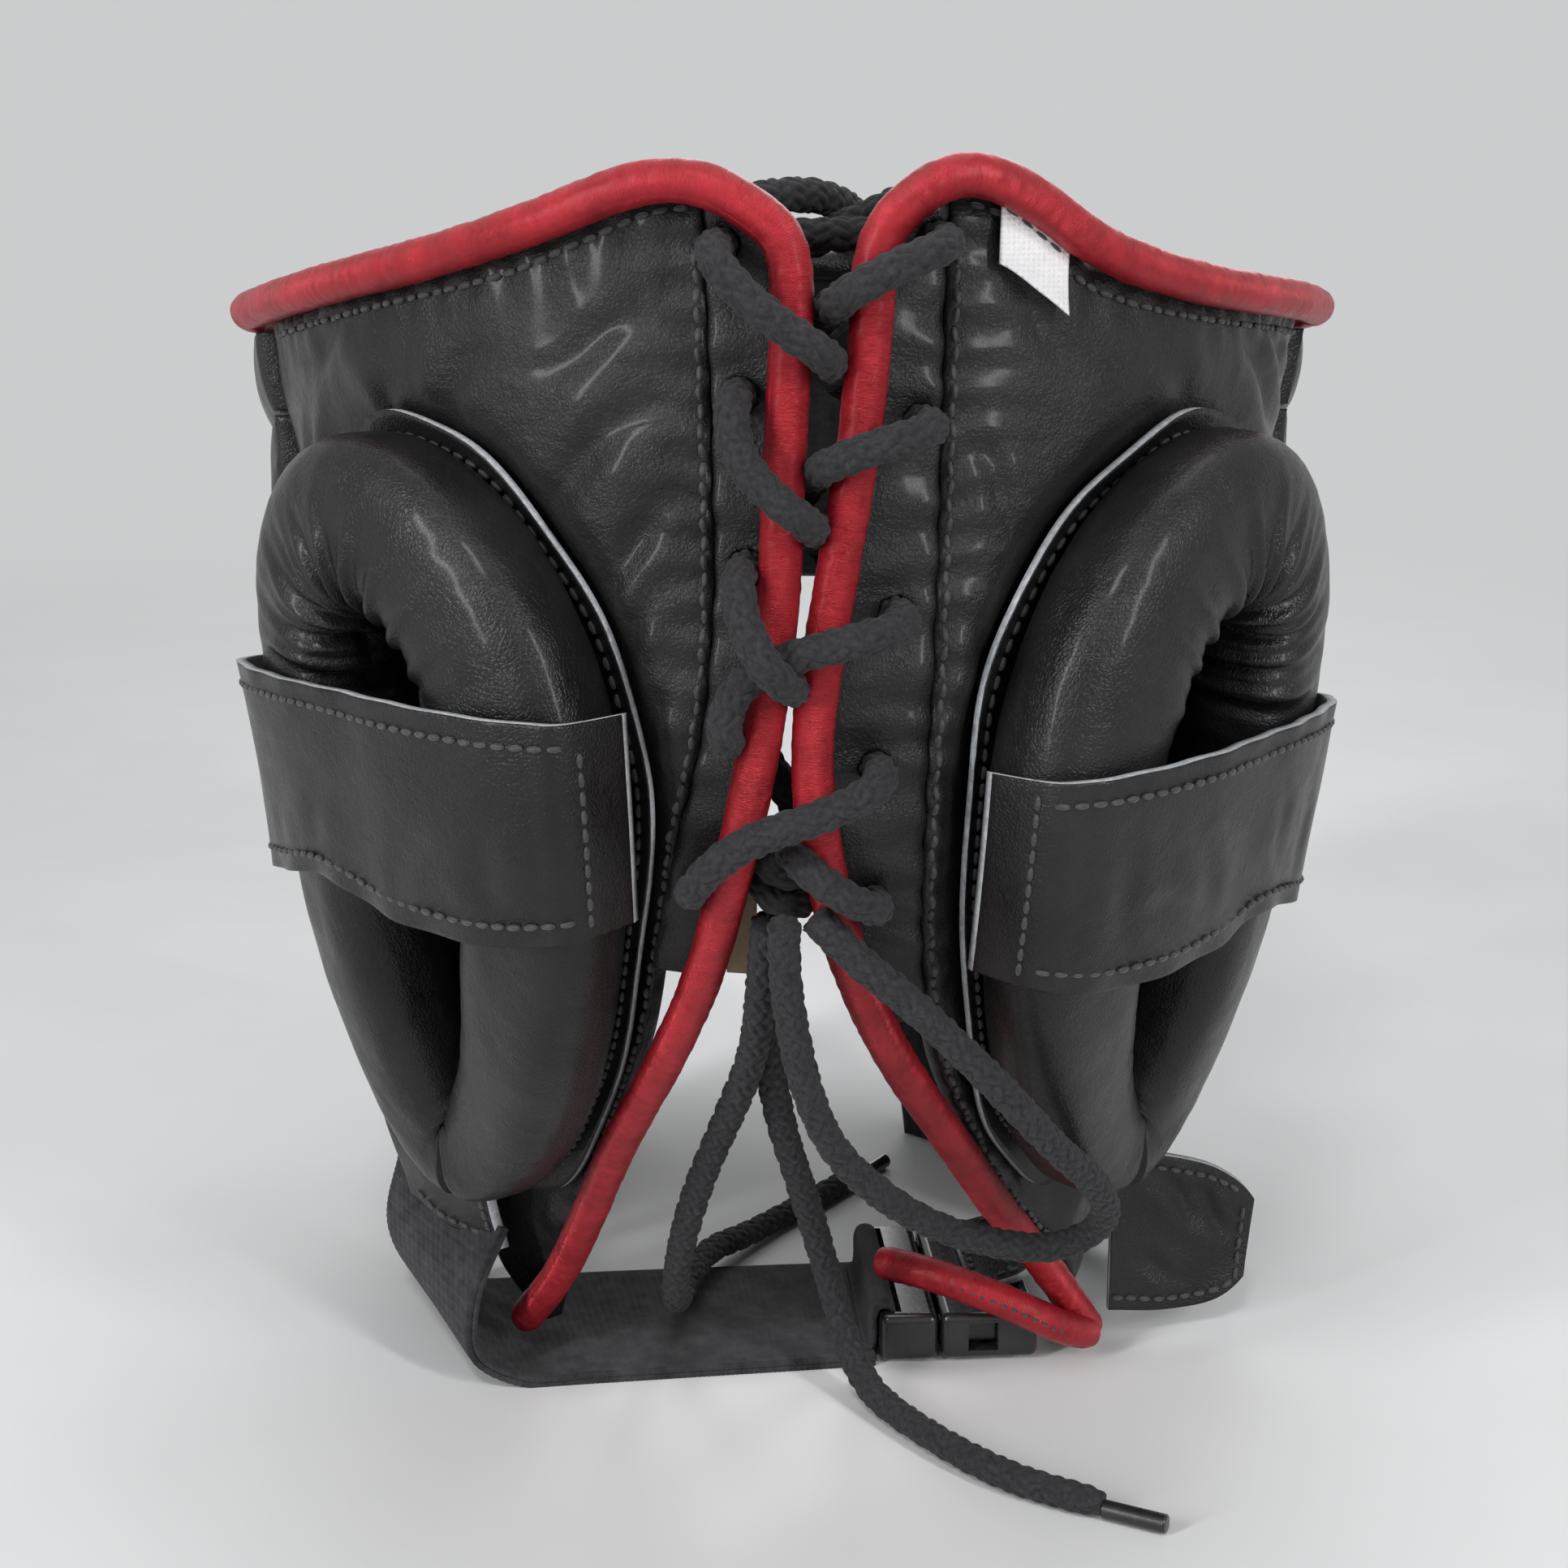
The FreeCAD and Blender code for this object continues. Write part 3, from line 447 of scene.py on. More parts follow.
def satin(name):
    """Red metallic binding with fine cross wrinkles."""
    n = Nodes(name)
    along = n.mapped((3.0, 60.0, 1.0), "UV")
    folds = n.noise(2.2, 6.0, along, 0.6)
    mottle = n.noise(160.0, 5.0)
    colour = n.ramp(mottle, (0.3, (0.27, 0.004, 0.010)), (0.75, (0.47, 0.014, 0.026)))
    gloss = n.ramp(n.noise(420.0, 4.0), (0.3, 0.26), (0.75, 0.42))
    normal = n.bump(folds, 0.6, 0.0008)
    normal = n.bump(n.noise(1500.0, 4.0), 0.28, 0.00015, normal)
    return n.finish(colour, gloss, normal, Metallic=0.45, Coat_Weight=0.1, Coat_Roughness=0.3)


def braid_cloth(name, dark, light):
    """Matt yarn: fine fibres along the strands."""
    n = Nodes(name)
    colour = n.ramp(n.noise(900.0, 6.0, None, 0.7), (0.3, dark), (0.72, light))
    normal = n.bump(n.noise(3600.0, 5.0, None, 0.75), 0.7, 0.00018)
    return n.finish(colour, None, normal, Roughness=0.82, Sheen_Weight=0.08, Sheen_Roughness=0.45,
                    Specular_IOR_Level=0.15)


def woven(name, dark, light, threads=900.0):
    n = Nodes(name)
    rows = n.add("ShaderNodeTexWave", Scale=threads / 6.0, Distortion=0.6, Detail=1.0, bands_direction="X")
    columns = n.add("ShaderNodeTexWave", Scale=threads / 6.0, Distortion=0.6, Detail=1.0, bands_direction="Z")
    for wave in (rows, columns):
        n.link(n.where.outputs["Object"], wave.inputs["Vector"])
    both = n.add("ShaderNodeMath", operation="MULTIPLY")
    n.link(rows.outputs["Fac"], both.inputs[0])
    n.link(columns.outputs["Fac"], both.inputs[1])
    colour = n.ramp(n.noise(260.0, 5.0), (0.3, dark), (0.75, light))
    normal = n.bump(both.outputs[0], 0.55, 0.0003)
    normal = n.bump(n.noise(2400.0, 4.0), 0.3, 0.0001, normal)
    return n.finish(colour, None, normal, Roughness=0.85, Sheen_Weight=0.08, Sheen_Roughness=0.5,
                    Specular_IOR_Level=0.15)


def plastic(name, dark, light):
    n = Nodes(name)
    colour = n.ramp(n.noise(120.0, 4.0), (0.3, dark), (0.8, light))
    gloss = n.ramp(n.noise(600.0, 5.0), (0.3, 0.22), (0.8, 0.34))
    normal = n.bump(n.noise(900.0, 3.0), 0.12, 0.0001)
    return n.finish(colour, gloss, normal, Coat_Weight=0.15, Coat_Roughness=0.2)


def thread(name, dark, light):
    n = Nodes(name)
    colour = n.ramp(n.noise(1500.0, 4.0), (0.3, dark), (0.7, light))
    return n.finish(colour, None, n.bump(n.noise(4200.0, 4.0), 0.6, 0.0001), Roughness=0.6, Sheen_Weight=0.2)


BLACK = leather("black_leather", (0.007, 0.0068, 0.0072), (0.017, 0.0165, 0.0165))
BLACK_SOFT = leather("black_leather_soft", (0.008, 0.0077, 0.008), (0.020, 0.019, 0.019), 0.31, 1.0)
EDGE = suede("raw_edge", (0.26, 0.275, 0.295), (0.60, 0.63, 0.66))
DARK_EDGE = suede("dark_edge", (0.03, 0.03, 0.033), (0.10, 0.105, 0.115))
RED = satin("red_binding")
LACE = braid_cloth("lace", (0.014, 0.014, 0.0155), (0.046, 0.046, 0.049))
LINING = woven("lining", (0.012, 0.012, 0.013), (0.030, 0.030, 0.032))
ELASTIC = woven("elastic", (0.016, 0.016, 0.018), (0.050, 0.050, 0.054), 1500.0)
PLASTIC = plastic("black_plastic", (0.010, 0.010, 0.011), (0.020, 0.020, 0.021))
THREAD = thread("black_thread", (0.010, 0.010, 0.011), (0.045, 0.045, 0.048))
WHITE = woven("white_label", (0.68, 0.68, 0.69), (0.80, 0.80, 0.81), 2000.0)
TAN = leather("tan_patch", (0.26, 0.17, 0.10), (0.42, 0.30, 0.19), 0.5)


# Lace: a round braid whose strands are real relief
CARRIERS = 8
BRAID_CLIMB = 1.35
BRAID_DEPTH = 0.75


def braided(name, path, diameter, end_pinch=0.0):
    """Braided cord along a path: two families of strands, each over two and under two."""
    path, at = even(path, 0.36)
    around = 64
    angles = np.linspace(0, 1, around, endpoint=False)
    cell = math.pi * diameter / CARRIERS
    climb = at[:, None] / (cell * BRAID_CLIMB)
    first = CARRIERS * angles[None, :] + climb
    second = CARRIERS * angles[None, :] - climb
    lag = np.mod(np.floor(second) - np.floor(first), 4)
    over = lag < 2
    across = np.where(over, first % 1, second % 1)
    along = np.where(over, (lag + second % 1) / 2, (3 - lag + first % 1) / 2)
    rise = np.sqrt(np.clip(1 - (2 * across - 1) ** 2, 0, 1))
    rise = rise * (0.45 + 0.55 * np.sin(np.pi * np.clip(along, 0, 1)))
    radius = diameter / 2 - BRAID_DEPTH + BRAID_DEPTH * rise
    wave = 1 + 0.02 * np.sin(at / 7.0)[:, None]
    if end_pinch:
        wave = wave * (1 - 0.28 * np.clip((at - at[-1] + end_pinch) / end_pinch, 0, 1)[:, None] ** 2)
    return sweep(f"{name}_braid", path, at, radius * wave, around, [LACE], replaces=[name], slot="lace")


LACE_LOOP = [
    (-3, -107.5, 129), (4, -108, 121.5), (14.4, -106.5, 112.5), (24.5, -104.5, 102), (35.4, -97.5, 89),
    (46, -88, 75), (54.5, -77.5, 65), (60, -68, 55.5), (61.5, -60, 47.5), (58, -55, 41.5),
    (50.5, -55.5, 39.5), (39.1, -61.1, 43.6), (26, -68, 50.4), (13.6, -77.1, 61.3), (2.5, -85.5, 75),
    (-3.5, -93.5, 91), (-7, -100, 108), (-8.5, -105, 121), (-8.5, -108, 128)]
TAIL_LONG = [
    (-8, -91.5, 127), (-8.5, -82.5, 111), (-9.5, -73, 93), (-6.2, -60.5, 72), (-1, -48.5, 53),
    (3.5, -38.5, 36), (7.5, -34.5, 20), (11, -39.5, 8), (14.5, -47.5, 4), (18.6, -55.5, 3.3), (25.5, -67, 3.3),
    (33, -77.5, 3.3), (43.1, -88, 3.3), (55.5, -95.2, 3.3)]
TAIL_SHORT = [
    (-11, -99.5, 126), (-11.5, -92, 111), (-12.5, -81, 93.3), (-16.4, -66, 76), (-22.5, -50, 54),
    (-26.5, -35, 31), (-27, -23, 14.5), (-25.5, -9, 9.4), (-22.5, 5, 8.4), (-17.5, 19, 7.8),
    (-8.5, 33, 4.4), (2, 47, 3.3), (14, 60, 3.3), (24, 73, 3.3)]
BACK_LACE = [
    (-9, 136, -9.5), (-17, 131.5, -11), (-25.2, 131, -10), (-25.2, 131, 9.5), (-18, 141, 13),
    (-10.5, 146.5, 13.5), (-2, 149.8, 13.5), (8.6, 155.2, 10.5), (8.6, 155.2, -10), (2, 162, -11),
    (-5, 168, -10), (-6.5, 172, 11.5), (-9.8, 177.5, 19), (-13, 184, 15), (-14.6, 191.3, 10),
    (-14.6, 191.3, -10), (-9, 198, -11), (-3.5, 205, -10), (-2.2, 209.8, 11), (5, 213.6, 13.2),
    (15.2, 216.2, 10.5), (15.2, 216.2, -10), (8, 219.5, -11), (1, 224, -10), (-0.6, 227.8, 11),
    (-7.5, 233.5, 13.2), (-13.5, 240, 12.5), (-17.2, 246, 10), (-17.2, 246, -10), (-8, 247.5, -11.5),
    (8, 247.8, -11.5), (16.8, 247, -10), (16.8, 247, 10), (7, 243, 13.3), (0, 237.5, 11),
    (-1.5, 233, -10), (-8, 227, -11), (-14.8, 221, -10), (-14.8, 221, 10.5), (-13.5, 211.5, 12.5),
    (-8.5, 204.8, 13.3), (-3, 199.5, 11), (-2.5, 196, -10), (4, 189, -11), (11.6, 183, -10),
    (11.6, 183, 10.5), (3, 181, 13.3), (-4.5, 178.7, 12.7), (-11, 176, 12.3), (-16.5, 169.5, 11),
    (-17.2, 161, 10), (-17.2, 161, -10), (-12, 152, -11.5), (-2, 139, -12), (9, 129, -11),
    (9, 129, 9.5), (2, 133.5, 12.8), (-5, 139.5, 10.5), (-7, 140.5, 3)]
CROWN_LACE = [
    (-13, -87, 253.5), (-4, -80, 255), (5, -66, 253), (9, -50, 250.5), (9, -37, 250), (9, -37, 228),
    (-9, -37, 228), (-9, -37, 248), (-8.5, -52, 246.5), (-3, -66, 245), (5, -78, 249), (14, -86, 253.5)]


def free_lace(name, points, end_pinch=0.0):
    path = nurbs_line(points)
    piece = braided(name, path, LACE_D, end_pinch)


free_lace("lace_loop", LACE_LOOP)
free_lace("lace_tail_long", TAIL_LONG, 5.0)
free_lace("lace_tail_short", TAIL_SHORT, 5.0)
braided("back_lace", nurbs_line([on_form(*p) for p in BACK_LACE]), LACE_D)
braided("crown_lace", nurbs_line(CROWN_LACE), LACE_D)


def knot():
    """Overhand knot: the lace wound round itself between the two bindings."""
    centre = on_form(-8.5, 134, -3)
    turns = 2.4
    steps = 26
    points = []
    for i in range(steps + 1):
        a = 2 * math.pi * turns * i / steps
        drop = 6.5 - 13.0 * i / steps
        points.append(centre + (4.3 * math.cos(a), 5.0 * math.sin(a), drop + 1.6 * math.sin(a)))
    braided("lace_knot", nurbs_line(points), LACE_D - 0.9)


knot()


# Red binding over the rim and down the back opening
def binding(name, points, seed):
    path, at = even(nurbs_line(points), 0.5)
    around = 36
    angles = np.linspace(0, 2 * np.pi, around, endpoint=False)
    lump = np.array([noise.noise(Vector((a * 0.11, seed, 0.0))) for a in at])
    cross = np.array([[noise.noise(Vector((a * 0.62, seed + 9.0, 1.3 * math.cos(g) + 1.3 * math.sin(g))))
                       for g in angles] for a in at])
    radius = PIPING_D / 2 - 0.12 + 0.18 * lump[:, None] + 0.16 * cross
    ends = np.minimum(at, at[-1] - at)[:, None]
    radius = radius * (0.72 + 0.28 * np.sqrt(np.clip(ends / 2.4, 0, 1)))
    sweep(f"{name}_cover", path, at, radius, around, [RED], replaces=[name], slot="red_binding")


LEFT_CORNER = (-61.0, -17.0, 8.4)
RIGHT_CORNER = (67.0, -24.0, 4.4)
EDGE_HEIGHTS = [22, 44, 68, 92, 114, 136, 160, 186, 212, 236, 247]
RIM_PLACES = (11.5, 19, 29, 44, 66, 92, 120, 150)
PIPING_TAIL = [(66.5, -25.5, 5), (60, -31, 8.5), (50, -33.5, 15), (38, -29.5, 19), (27, -22.5, 20.3),
               (19, -18, 20.5)]
for side, name in ((-1, "left"), (1, "right")):
    edge = LEFT_EDGE if side < 0 else RIGHT_EDGE
    rim = LEFT_RIM if side < 0 else RIGHT_RIM
    route = [LEFT_CORNER if side < 0 else RIGHT_CORNER]
    route += [on_form(side * smooth(edge, z), z, PIPING_OFF) for z in EDGE_HEIGHTS]
    route += [on_form(side * w, smooth(rim, w), PIPING_OFF) for w in RIM_PLACES]
    binding(f"{name}_edge_piping", route, 3.0 * side)
front = []
for w in (150.8, 182, 216, 250, 284, 318, 345, 372, 406, 440, 474, 508, 539.2):
    front.append(on_form(w, smooth(LEFT_RIM, min(w, 2 * HALF_ROUND - w)), PIPING_OFF))
binding("front_rim_piping", front, 17.0)
binding("right_piping_tail", PIPING_TAIL, 23.0)


# Padded panels
def ear_w(side):
    """Distance round the form of the ear's centre; the laced back sits a little to one side."""
    return LEFT_EAR_W if side < 0 else RIGHT_EAR_W


def ear_share(side, w, z, margin=0.0):
    up = np.where(z > EAR_Z, EAR_UP, EAR_DOWN)
    return np.hypot((w - ear_w(side)) / (EAR_HALF + margin), (z - EAR_Z) / (up + margin))


def ear_dip(side, w, z):
    """How far the panel sinks under the ear ring."""
    t = np.clip((1.10 - ear_share(side, w, z, BASE_MARGIN)) / 0.36, 0, 1)
    return -EAR_DIP * t * t * (3 - 2 * t)


def side_bounds(side, s):
    rim = LEFT_RIM if side < 0 else RIGHT_RIM
    top = smooth(rim, 20.0 + (SIDE_FRONT_W - 20.0) * s) - 0.8
    start = 13.5 if side > 0 else 6.0
    return smooth([(0, start), (0.25, 17), (0.5, 34), (0.8, 46), (1, 48)], s), top, start


def side_where(side, s, t):
    seam = LEFT_SEAM if side < 0 else RIGHT_SEAM
    bottom, top, start = side_bounds(side, s)
    back = smooth(seam, np.minimum(start + (top - start) * t, 256)) + 0.3
    return back + (SIDE_FRONT_W - back) * s, bottom + (top - bottom) * t


def side_share(side, w, z):
    """The (s, t) of the side panel at a distance and height."""
    seam = LEFT_SEAM if side < 0 else RIGHT_SEAM
    s = np.clip((w - 30.0) / 120.0, 0, 1)
    for _ in range(6):
        bottom, top, start = side_bounds(side, s)
        t = np.clip((z - bottom) / (top - bottom), 0, 1)
        back = smooth(seam, np.minimum(start + (top - start) * t, 256)) + 0.3
        s = np.clip((w - back) / (SIDE_FRONT_W - back), 0, 1)
    return s, t


# Soft folds of each side panel, as (w0, z0, w1, z1, depth, width) about the wearer's seam
LEFT_FOLDS = [
    (24, 236, 52, 224, 0.8, 3.0), (24, 222, 60, 196, 1.3, 3.6), (22, 205, 46, 184, 1.0, 3.0),
    (60, 228, 80, 208, 1.1, 3.4), (84, 222, 96, 206, 1.0, 3.0), (108, 216, 118, 190, 1.2, 4.0),
    (124, 212, 134, 172, 1.4, 3.6), (26, 188, 44, 172, 0.9, 2.6), (28, 170, 40, 150, 1.0, 2.4),
    (31, 150, 38, 122, 1.1, 2.6), (38, 118, 46, 96, 1.2, 2.4), (46, 92, 56, 72, 1.2, 2.6),
    (56, 70, 70, 50, 1.0, 2.6), (96, 232, 120, 222, 0.8, 3.0)]
RIGHT_FOLDS = [
    (84, 232, 130, 206, 1.4, 3.6), (96, 232, 140, 214, 1.2, 3.2), (112, 230, 146, 220, 1.2, 3.0),
    (24, 244, 44, 226, 0.8, 3.0), (60, 226, 84, 214, 0.7, 3.4), (22, 214, 36, 196, 0.7, 2.6),
    (24, 180, 36, 166, 0.8, 2.6), (22, 152, 32, 140, 0.7, 2.4), (24, 118, 33, 104, 0.8, 2.4),
    (30, 96, 42, 80, 1.0, 2.6), (40, 76, 54, 60, 1.0, 2.6), (56, 60, 70, 44, 1.0, 2.6)]


def hem_curl(side, s, t):
    """How far the lower back corner of a side panel curls outward."""
    return (7.0 if side > 0 else 2.0) * (1 - t) ** 4 * (1 - s) ** 2


def side_outer(side, s, t, w, z):
    """Offset of the panel's leather, with its folds and its puckers along the seams."""
    flat = SIDE_CROWN * crown(s, t) + ear_dip(side, w, z) + hem_curl(side, s, t)
    free = np.clip((ear_share(side, w, z, BASE_MARGIN) - 0.9) / 0.12, 0, 1)
    folds = creases(w, z, LEFT_FOLDS if side < 0 else RIGHT_FOLDS)
    spots = np.stack([w, z, 0 * w], -1)
    swell = 1.2 * rough(spots, 34.0, 3.0 * side) + 0.8 * rough(spots, 15.0, 7.0 * side)
    seam_gap = s * 110.0
    rim_gap = (1 - t) * 210.0
    pucker = (np.exp(-seam_gap / 6.0) * np.sin(z * 0.86 + 2.0 * rough(spots, 18.0, 5.0))
              + np.exp(-rim_gap / 5.0) * np.sin(w * 0.78 + 2.0 * rough(spots, 18.0, 11.0)))
    hold = np.clip(np.minimum(seam_gap, rim_gap) / 5.0, 0, 1)
    sunk = 0.9 * np.exp(-seam_gap / 2.2) + 0.6 * np.exp(-rim_gap / 2.5)
    return flat + free * (1.35 * folds + swell * hold + 0.8 * pucker) - sunk


def side_inner(s, t, w, z, side):
    dip = ear_dip(side, w, z)
    return dip - RIM_THICKNESS - (PAD_THICKNESS - RIM_THICKNESS + dip) * crown(s, t, 0.6) + hem_curl(side, s, t)


SLOT_HALF = 12.0


def in_slot(side, w, z):
    """True inside the ear slot, a rounded upright slot."""
    up = np.maximum(np.abs(z - (EAR_Z - 18)) - 36.0, 0.0)
    return np.hypot(w - ear_w(side), up) < SLOT_HALF


def quads_in(mask):
    """A quad is left out where its first corner and its last one are both inside."""
    return mask[:-1, :-1] & mask[1:, 1:]


def grid(rows, columns):
    return np.meshgrid(np.linspace(0, 1, rows), np.linspace(0, 1, columns), indexing="ij")


def padded(name, outer, inner, replaces, hole=None):
    """A stuffed pad: leather outside, lining inside, closed along its edges."""
    sheet_solid(name, outer, inner, [BLACK_SOFT, LINING, BLACK], hole, replaces=replaces,
                          slot="black_leather")


def layers(name):
    return [f"{name}_{layer}" for layer in ("leather", "foam", "lining")]


def side_pad(side, name):
    s, t = grid(*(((110, 170))))
    w, z = side_where(side, s, t)
    outer = on_form(side * w, z, side_outer(side, s, t, w, z))
    inner = on_form(side * w, z, side_inner(s, t, w, z, side))
    padded(f"{name}_side_pad", outer, inner, layers(f"{name}_side"), quads_in(in_slot(side, w, z)))


def pad_top(w):
    return smooth([(150, 212), (180, 200), (230, 170), (285, 156), (345, 154)], w)


def cheek_pad(side, name):
    s, t = grid(*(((90, 130))))
    low = smooth([(0, 38), (0.2, 16), (0.4, 2.5), (0.55, 0.0), (1, 0.0)], s)
    z = low + (pad_top(PAD_BACK_W + (272 - PAD_BACK_W) * s) - 0.6 - low) * t
    front_edge = smooth([(-1, 282), (30, 293), (80, 296), (150, 272), (212, 262)], z)
    w = PAD_BACK_W + (front_edge - PAD_BACK_W) * s
    spots = np.stack([w, z, 0 * w], -1)
    edge = np.minimum(np.minimum(s, 1 - s) * 120, np.minimum(t, 1 - t) * 170)
    pucker = np.exp(-edge / 5.0) * np.sin((w + z) * 0.62 + 2.5 * rough(spots, 16.0, 2.0))
    swell = 0.8 * rough(spots, 40.0, 4.0) + 0.35 * rough(spots, 14.0, 8.0)
    outer_off = (CHEEK_LIFT + CHEEK_CROWN * crown(s, t, 0.45) + 0.4 * pucker
                 + swell * np.clip(edge / 8.0, 0, 1))
    inner_off = -RIM_THICKNESS - (CHEEK_DEPTH - RIM_THICKNESS) * crown(s, t, 0.5)
    padded(f"{name}_cheek_pad", on_form(side * w, z, outer_off), on_form(side * w, z, inner_off),
           layers(f"{name}_cheek"))


def forehead_pad():
    s, t = grid(*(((200, 60))))
    w = PAD_BACK_W + 2 * (HALF_ROUND - PAD_BACK_W) * s
    inside = np.minimum(w, 2 * HALF_ROUND - w)
    top = smooth(LEFT_RIM, inside) - PIPING_D / 2 - 0.2
    low = pad_top(inside) + 0.6
    z = low + (top - low) * t
    spots = np.stack([w, z, 0 * w], -1)
    edge = np.minimum(np.minimum(s, 1 - s) * 380, np.minimum(t, 1 - t) * 60)
    pucker = np.exp(-edge / 4.0) * np.sin(w * 0.7 + 2.5 * rough(spots, 16.0, 12.0))
    swell = 0.7 * rough(spots, 36.0, 14.0) + 0.3 * rough(spots, 12.0, 18.0)
    outer_off = (CHEEK_LIFT + FOREHEAD_CROWN * crown(s, t, 0.5) + 0.4 * pucker
                 + swell * np.clip(edge / 8.0, 0, 1))
    inner_off = -RIM_THICKNESS - (CHEEK_DEPTH - RIM_THICKNESS) * crown(s, t, 0.5)
    padded("forehead_pad", on_form(w, z, outer_off), on_form(w, z, inner_off), layers("forehead"))


def crown_tongue():
    s, t = grid(90, 40)
    y = 112.0 - 158.0 * s
    x = 28.0 * (2 * t - 1) * (1 - 0.25 * s)
    z = smooth([(0, 214), (0.3, 232), (0.65, 240), (1, 241)], s) - 0.004 * x * x
    spots = np.stack([x, y, 0 * x], -1)
    thick = 2.0 + 4 * crown(s, t, 0.5)
    bumps = 0.5 * rough(spots, 20.0, 31.0) * crown(s, t, 0.5)
    hole = np.zeros(s.shape, bool)
    for at in (-9.0, 9.0):
        hole |= np.hypot(x - at, y + 37.0) < HOLE_R
    outer = np.stack([x, y, z + thick + bumps], -1)
    inner = np.stack([x, y, z - thick], -1)
    padded("crown_tongue_pad", outer, inner, ["crown_tongue"], quads_in(hole))


def panel_off(side, w, z):
    """Offset of the side panel's leather at a distance and height, without its folds."""
    s, t = side_share(side, w, z)
    return SIDE_CROWN * crown(s, t) + ear_dip(side, w, z) + hem_curl(side, s, t)


def base_off(side, w, z):
    """Offset of the ear guard base's upper face."""
    edge = np.clip((ear_share(side, w, z, BASE_MARGIN) - 0.8) / 0.2, 0, 1)
    flat = SIDE_CROWN + ear_dip(side, w, z)
    return flat + BASE_LIFT + BASE_THICKNESS - 0.7 * edge * (flat - panel_off(side, w, z))


def base_outline(side, angle, share=1.0):
    """Distance and height on the base's edge at an angle, 0 towards the front, 90 at the top."""
    wobble = 0.9 * np.sin(5 * angle + side) + 0.6 * np.sin(11 * angle + 2.0 * side)
    across = (EAR_HALF + BASE_MARGIN - 3.0 + wobble) * share
    up = np.where(np.sin(angle) > 0, EAR_UP + BASE_MARGIN - 2.0, EAR_DOWN + BASE_MARGIN - 3.0) + wobble
    return ear_w(side) + across * np.cos(angle), EAR_Z + up * np.sin(angle) * share


def ear_base(side, name):
    rows, columns = 30, 200
    turn = np.linspace(0, 2 * np.pi, columns, endpoint=False)
    share, angle = np.meshgrid(np.linspace(0.42, 1, rows), turn, indexing="ij")
    w, z = base_outline(side, angle, share)
    fray = 0.25 * rough(np.stack([w, z, 0 * w], -1), 1.6, 3.0) * (share > 0.98)
    top = base_off(side, w, z)
    outer = on_form(side * w, z, top + fray)
    inner = on_form(side * w, z, top - BASE_THICKNESS)
    sheet_solid(f"{name}_ear_base_leather", outer, inner, [BLACK, DARK_EDGE, EDGE], None, True,
                replaces=[f"{name}_ear_base"], slot="suede_edge")


# Padded ear ring: centreline half width and the roll's own half width and height
RING_HALF = 31.5
RING_UP = 48.5
RING_DOWN = 86.0
ROLL_WIDE = 16.6
ROLL_TALL = 13.0


def ring_centre(side, angle):
    up = np.where(np.sin(angle) > 0, RING_UP, RING_DOWN)
    w = ear_w(side) + RING_HALF * np.cos(angle)
    z = EAR_Z + up * np.sin(angle)
    dip = ear_dip(side, ear_w(side) + EAR_HALF * np.cos(angle), z)
    return on_form(side * w, z, SIDE_CROWN + dip + BASE_LIFT + BASE_THICKNESS + ROLL_TALL + 0.4), w, z


def ear_roll(side, name):
    """Swollen leather roll; the leather gathers in folds on the inner side of its bends."""
    count = 420
    around = 56
    angle = np.linspace(math.radians(-88.0), math.radians(268.0), count)
    centre, w, z = ring_centre(side, angle)
    along = np.gradient(centre, axis=0)
    along /= np.linalg.norm(along, axis=1)[:, None]
    out = on_form(side * w, z, 40.0) - on_form(side * w, z, 20.0)
    across = np.cross(along, out)
    across /= np.linalg.norm(across, axis=1)[:, None]
    out = np.cross(across, along)
    low = np.clip(-np.sin(angle), 0, 1)
    wide = ROLL_WIDE * (1 - 0.22 * low ** 2)
    tall = ROLL_TALL * (1 - 0.15 * low ** 2)
    turn = np.linspace(0, 2 * np.pi, around, endpoint=False)
    a, g = np.meshgrid(angle, turn, indexing="ij")
    inward = -np.cos(g) * (1.0 if side > 0 else -1.0)
    bend = np.clip(np.sin(a), 0, 1) ** 0.7 + 0.5 * np.clip(-np.sin(a) - 0.8, 0, 1)
    lean = 1.0 + 0.5 * np.cos(a)
    inner_side = np.clip(0.35 + 0.65 * inward, 0, 1)
    spots = np.stack([3.0 * a, g, 0 * a], -1)
    wander = 1.3 * rough(spots, 1.4, 5.0 * side)
    folds = np.sin(23.0 * a + wander * 2.0 + 1.2 * np.sin(3 * a)) * 0.75
    folds = folds + 0.35 * np.sin(51.0 * a + 3.0 * wander)
    gather = 2.0 * bend * lean * inner_side ** 1.5 * folds
    soft = 0.45 * rough(np.stack([10 * a, 3 * g, 0 * a], -1), 4.0, 9.0) + 0.18 * rough(spots * 8, 2.5, 1.0)
    square = 1.0 - 0.05 * np.cos(4 * g)
    radius_wide = wide[:, None] * square + gather + soft
    radius_tall = tall[:, None] * square + gather + soft
    ring = (np.cos(g)[:, :, None] * radius_wide[:, :, None] * across[:, None, :]
            + np.sin(g)[:, :, None] * radius_tall[:, :, None] * out[:, None, :])
    points = (centre[:, None, :] + ring)
    faces = grid_faces(count, around, 0, True)
    uv = np.stack([a / (2 * np.pi), g / (2 * np.pi)], -1)
    faces.append(tuple(range(around))[::-1])
    faces.append(tuple((count - 1) * around + j for j in range(around)))
    piece = mesh_piece(f"{name}_ear_roll_leather", points, faces, [BLACK], None, uv,
                       replaces=[f"{name}_ear_roll"], slot="black_leather")


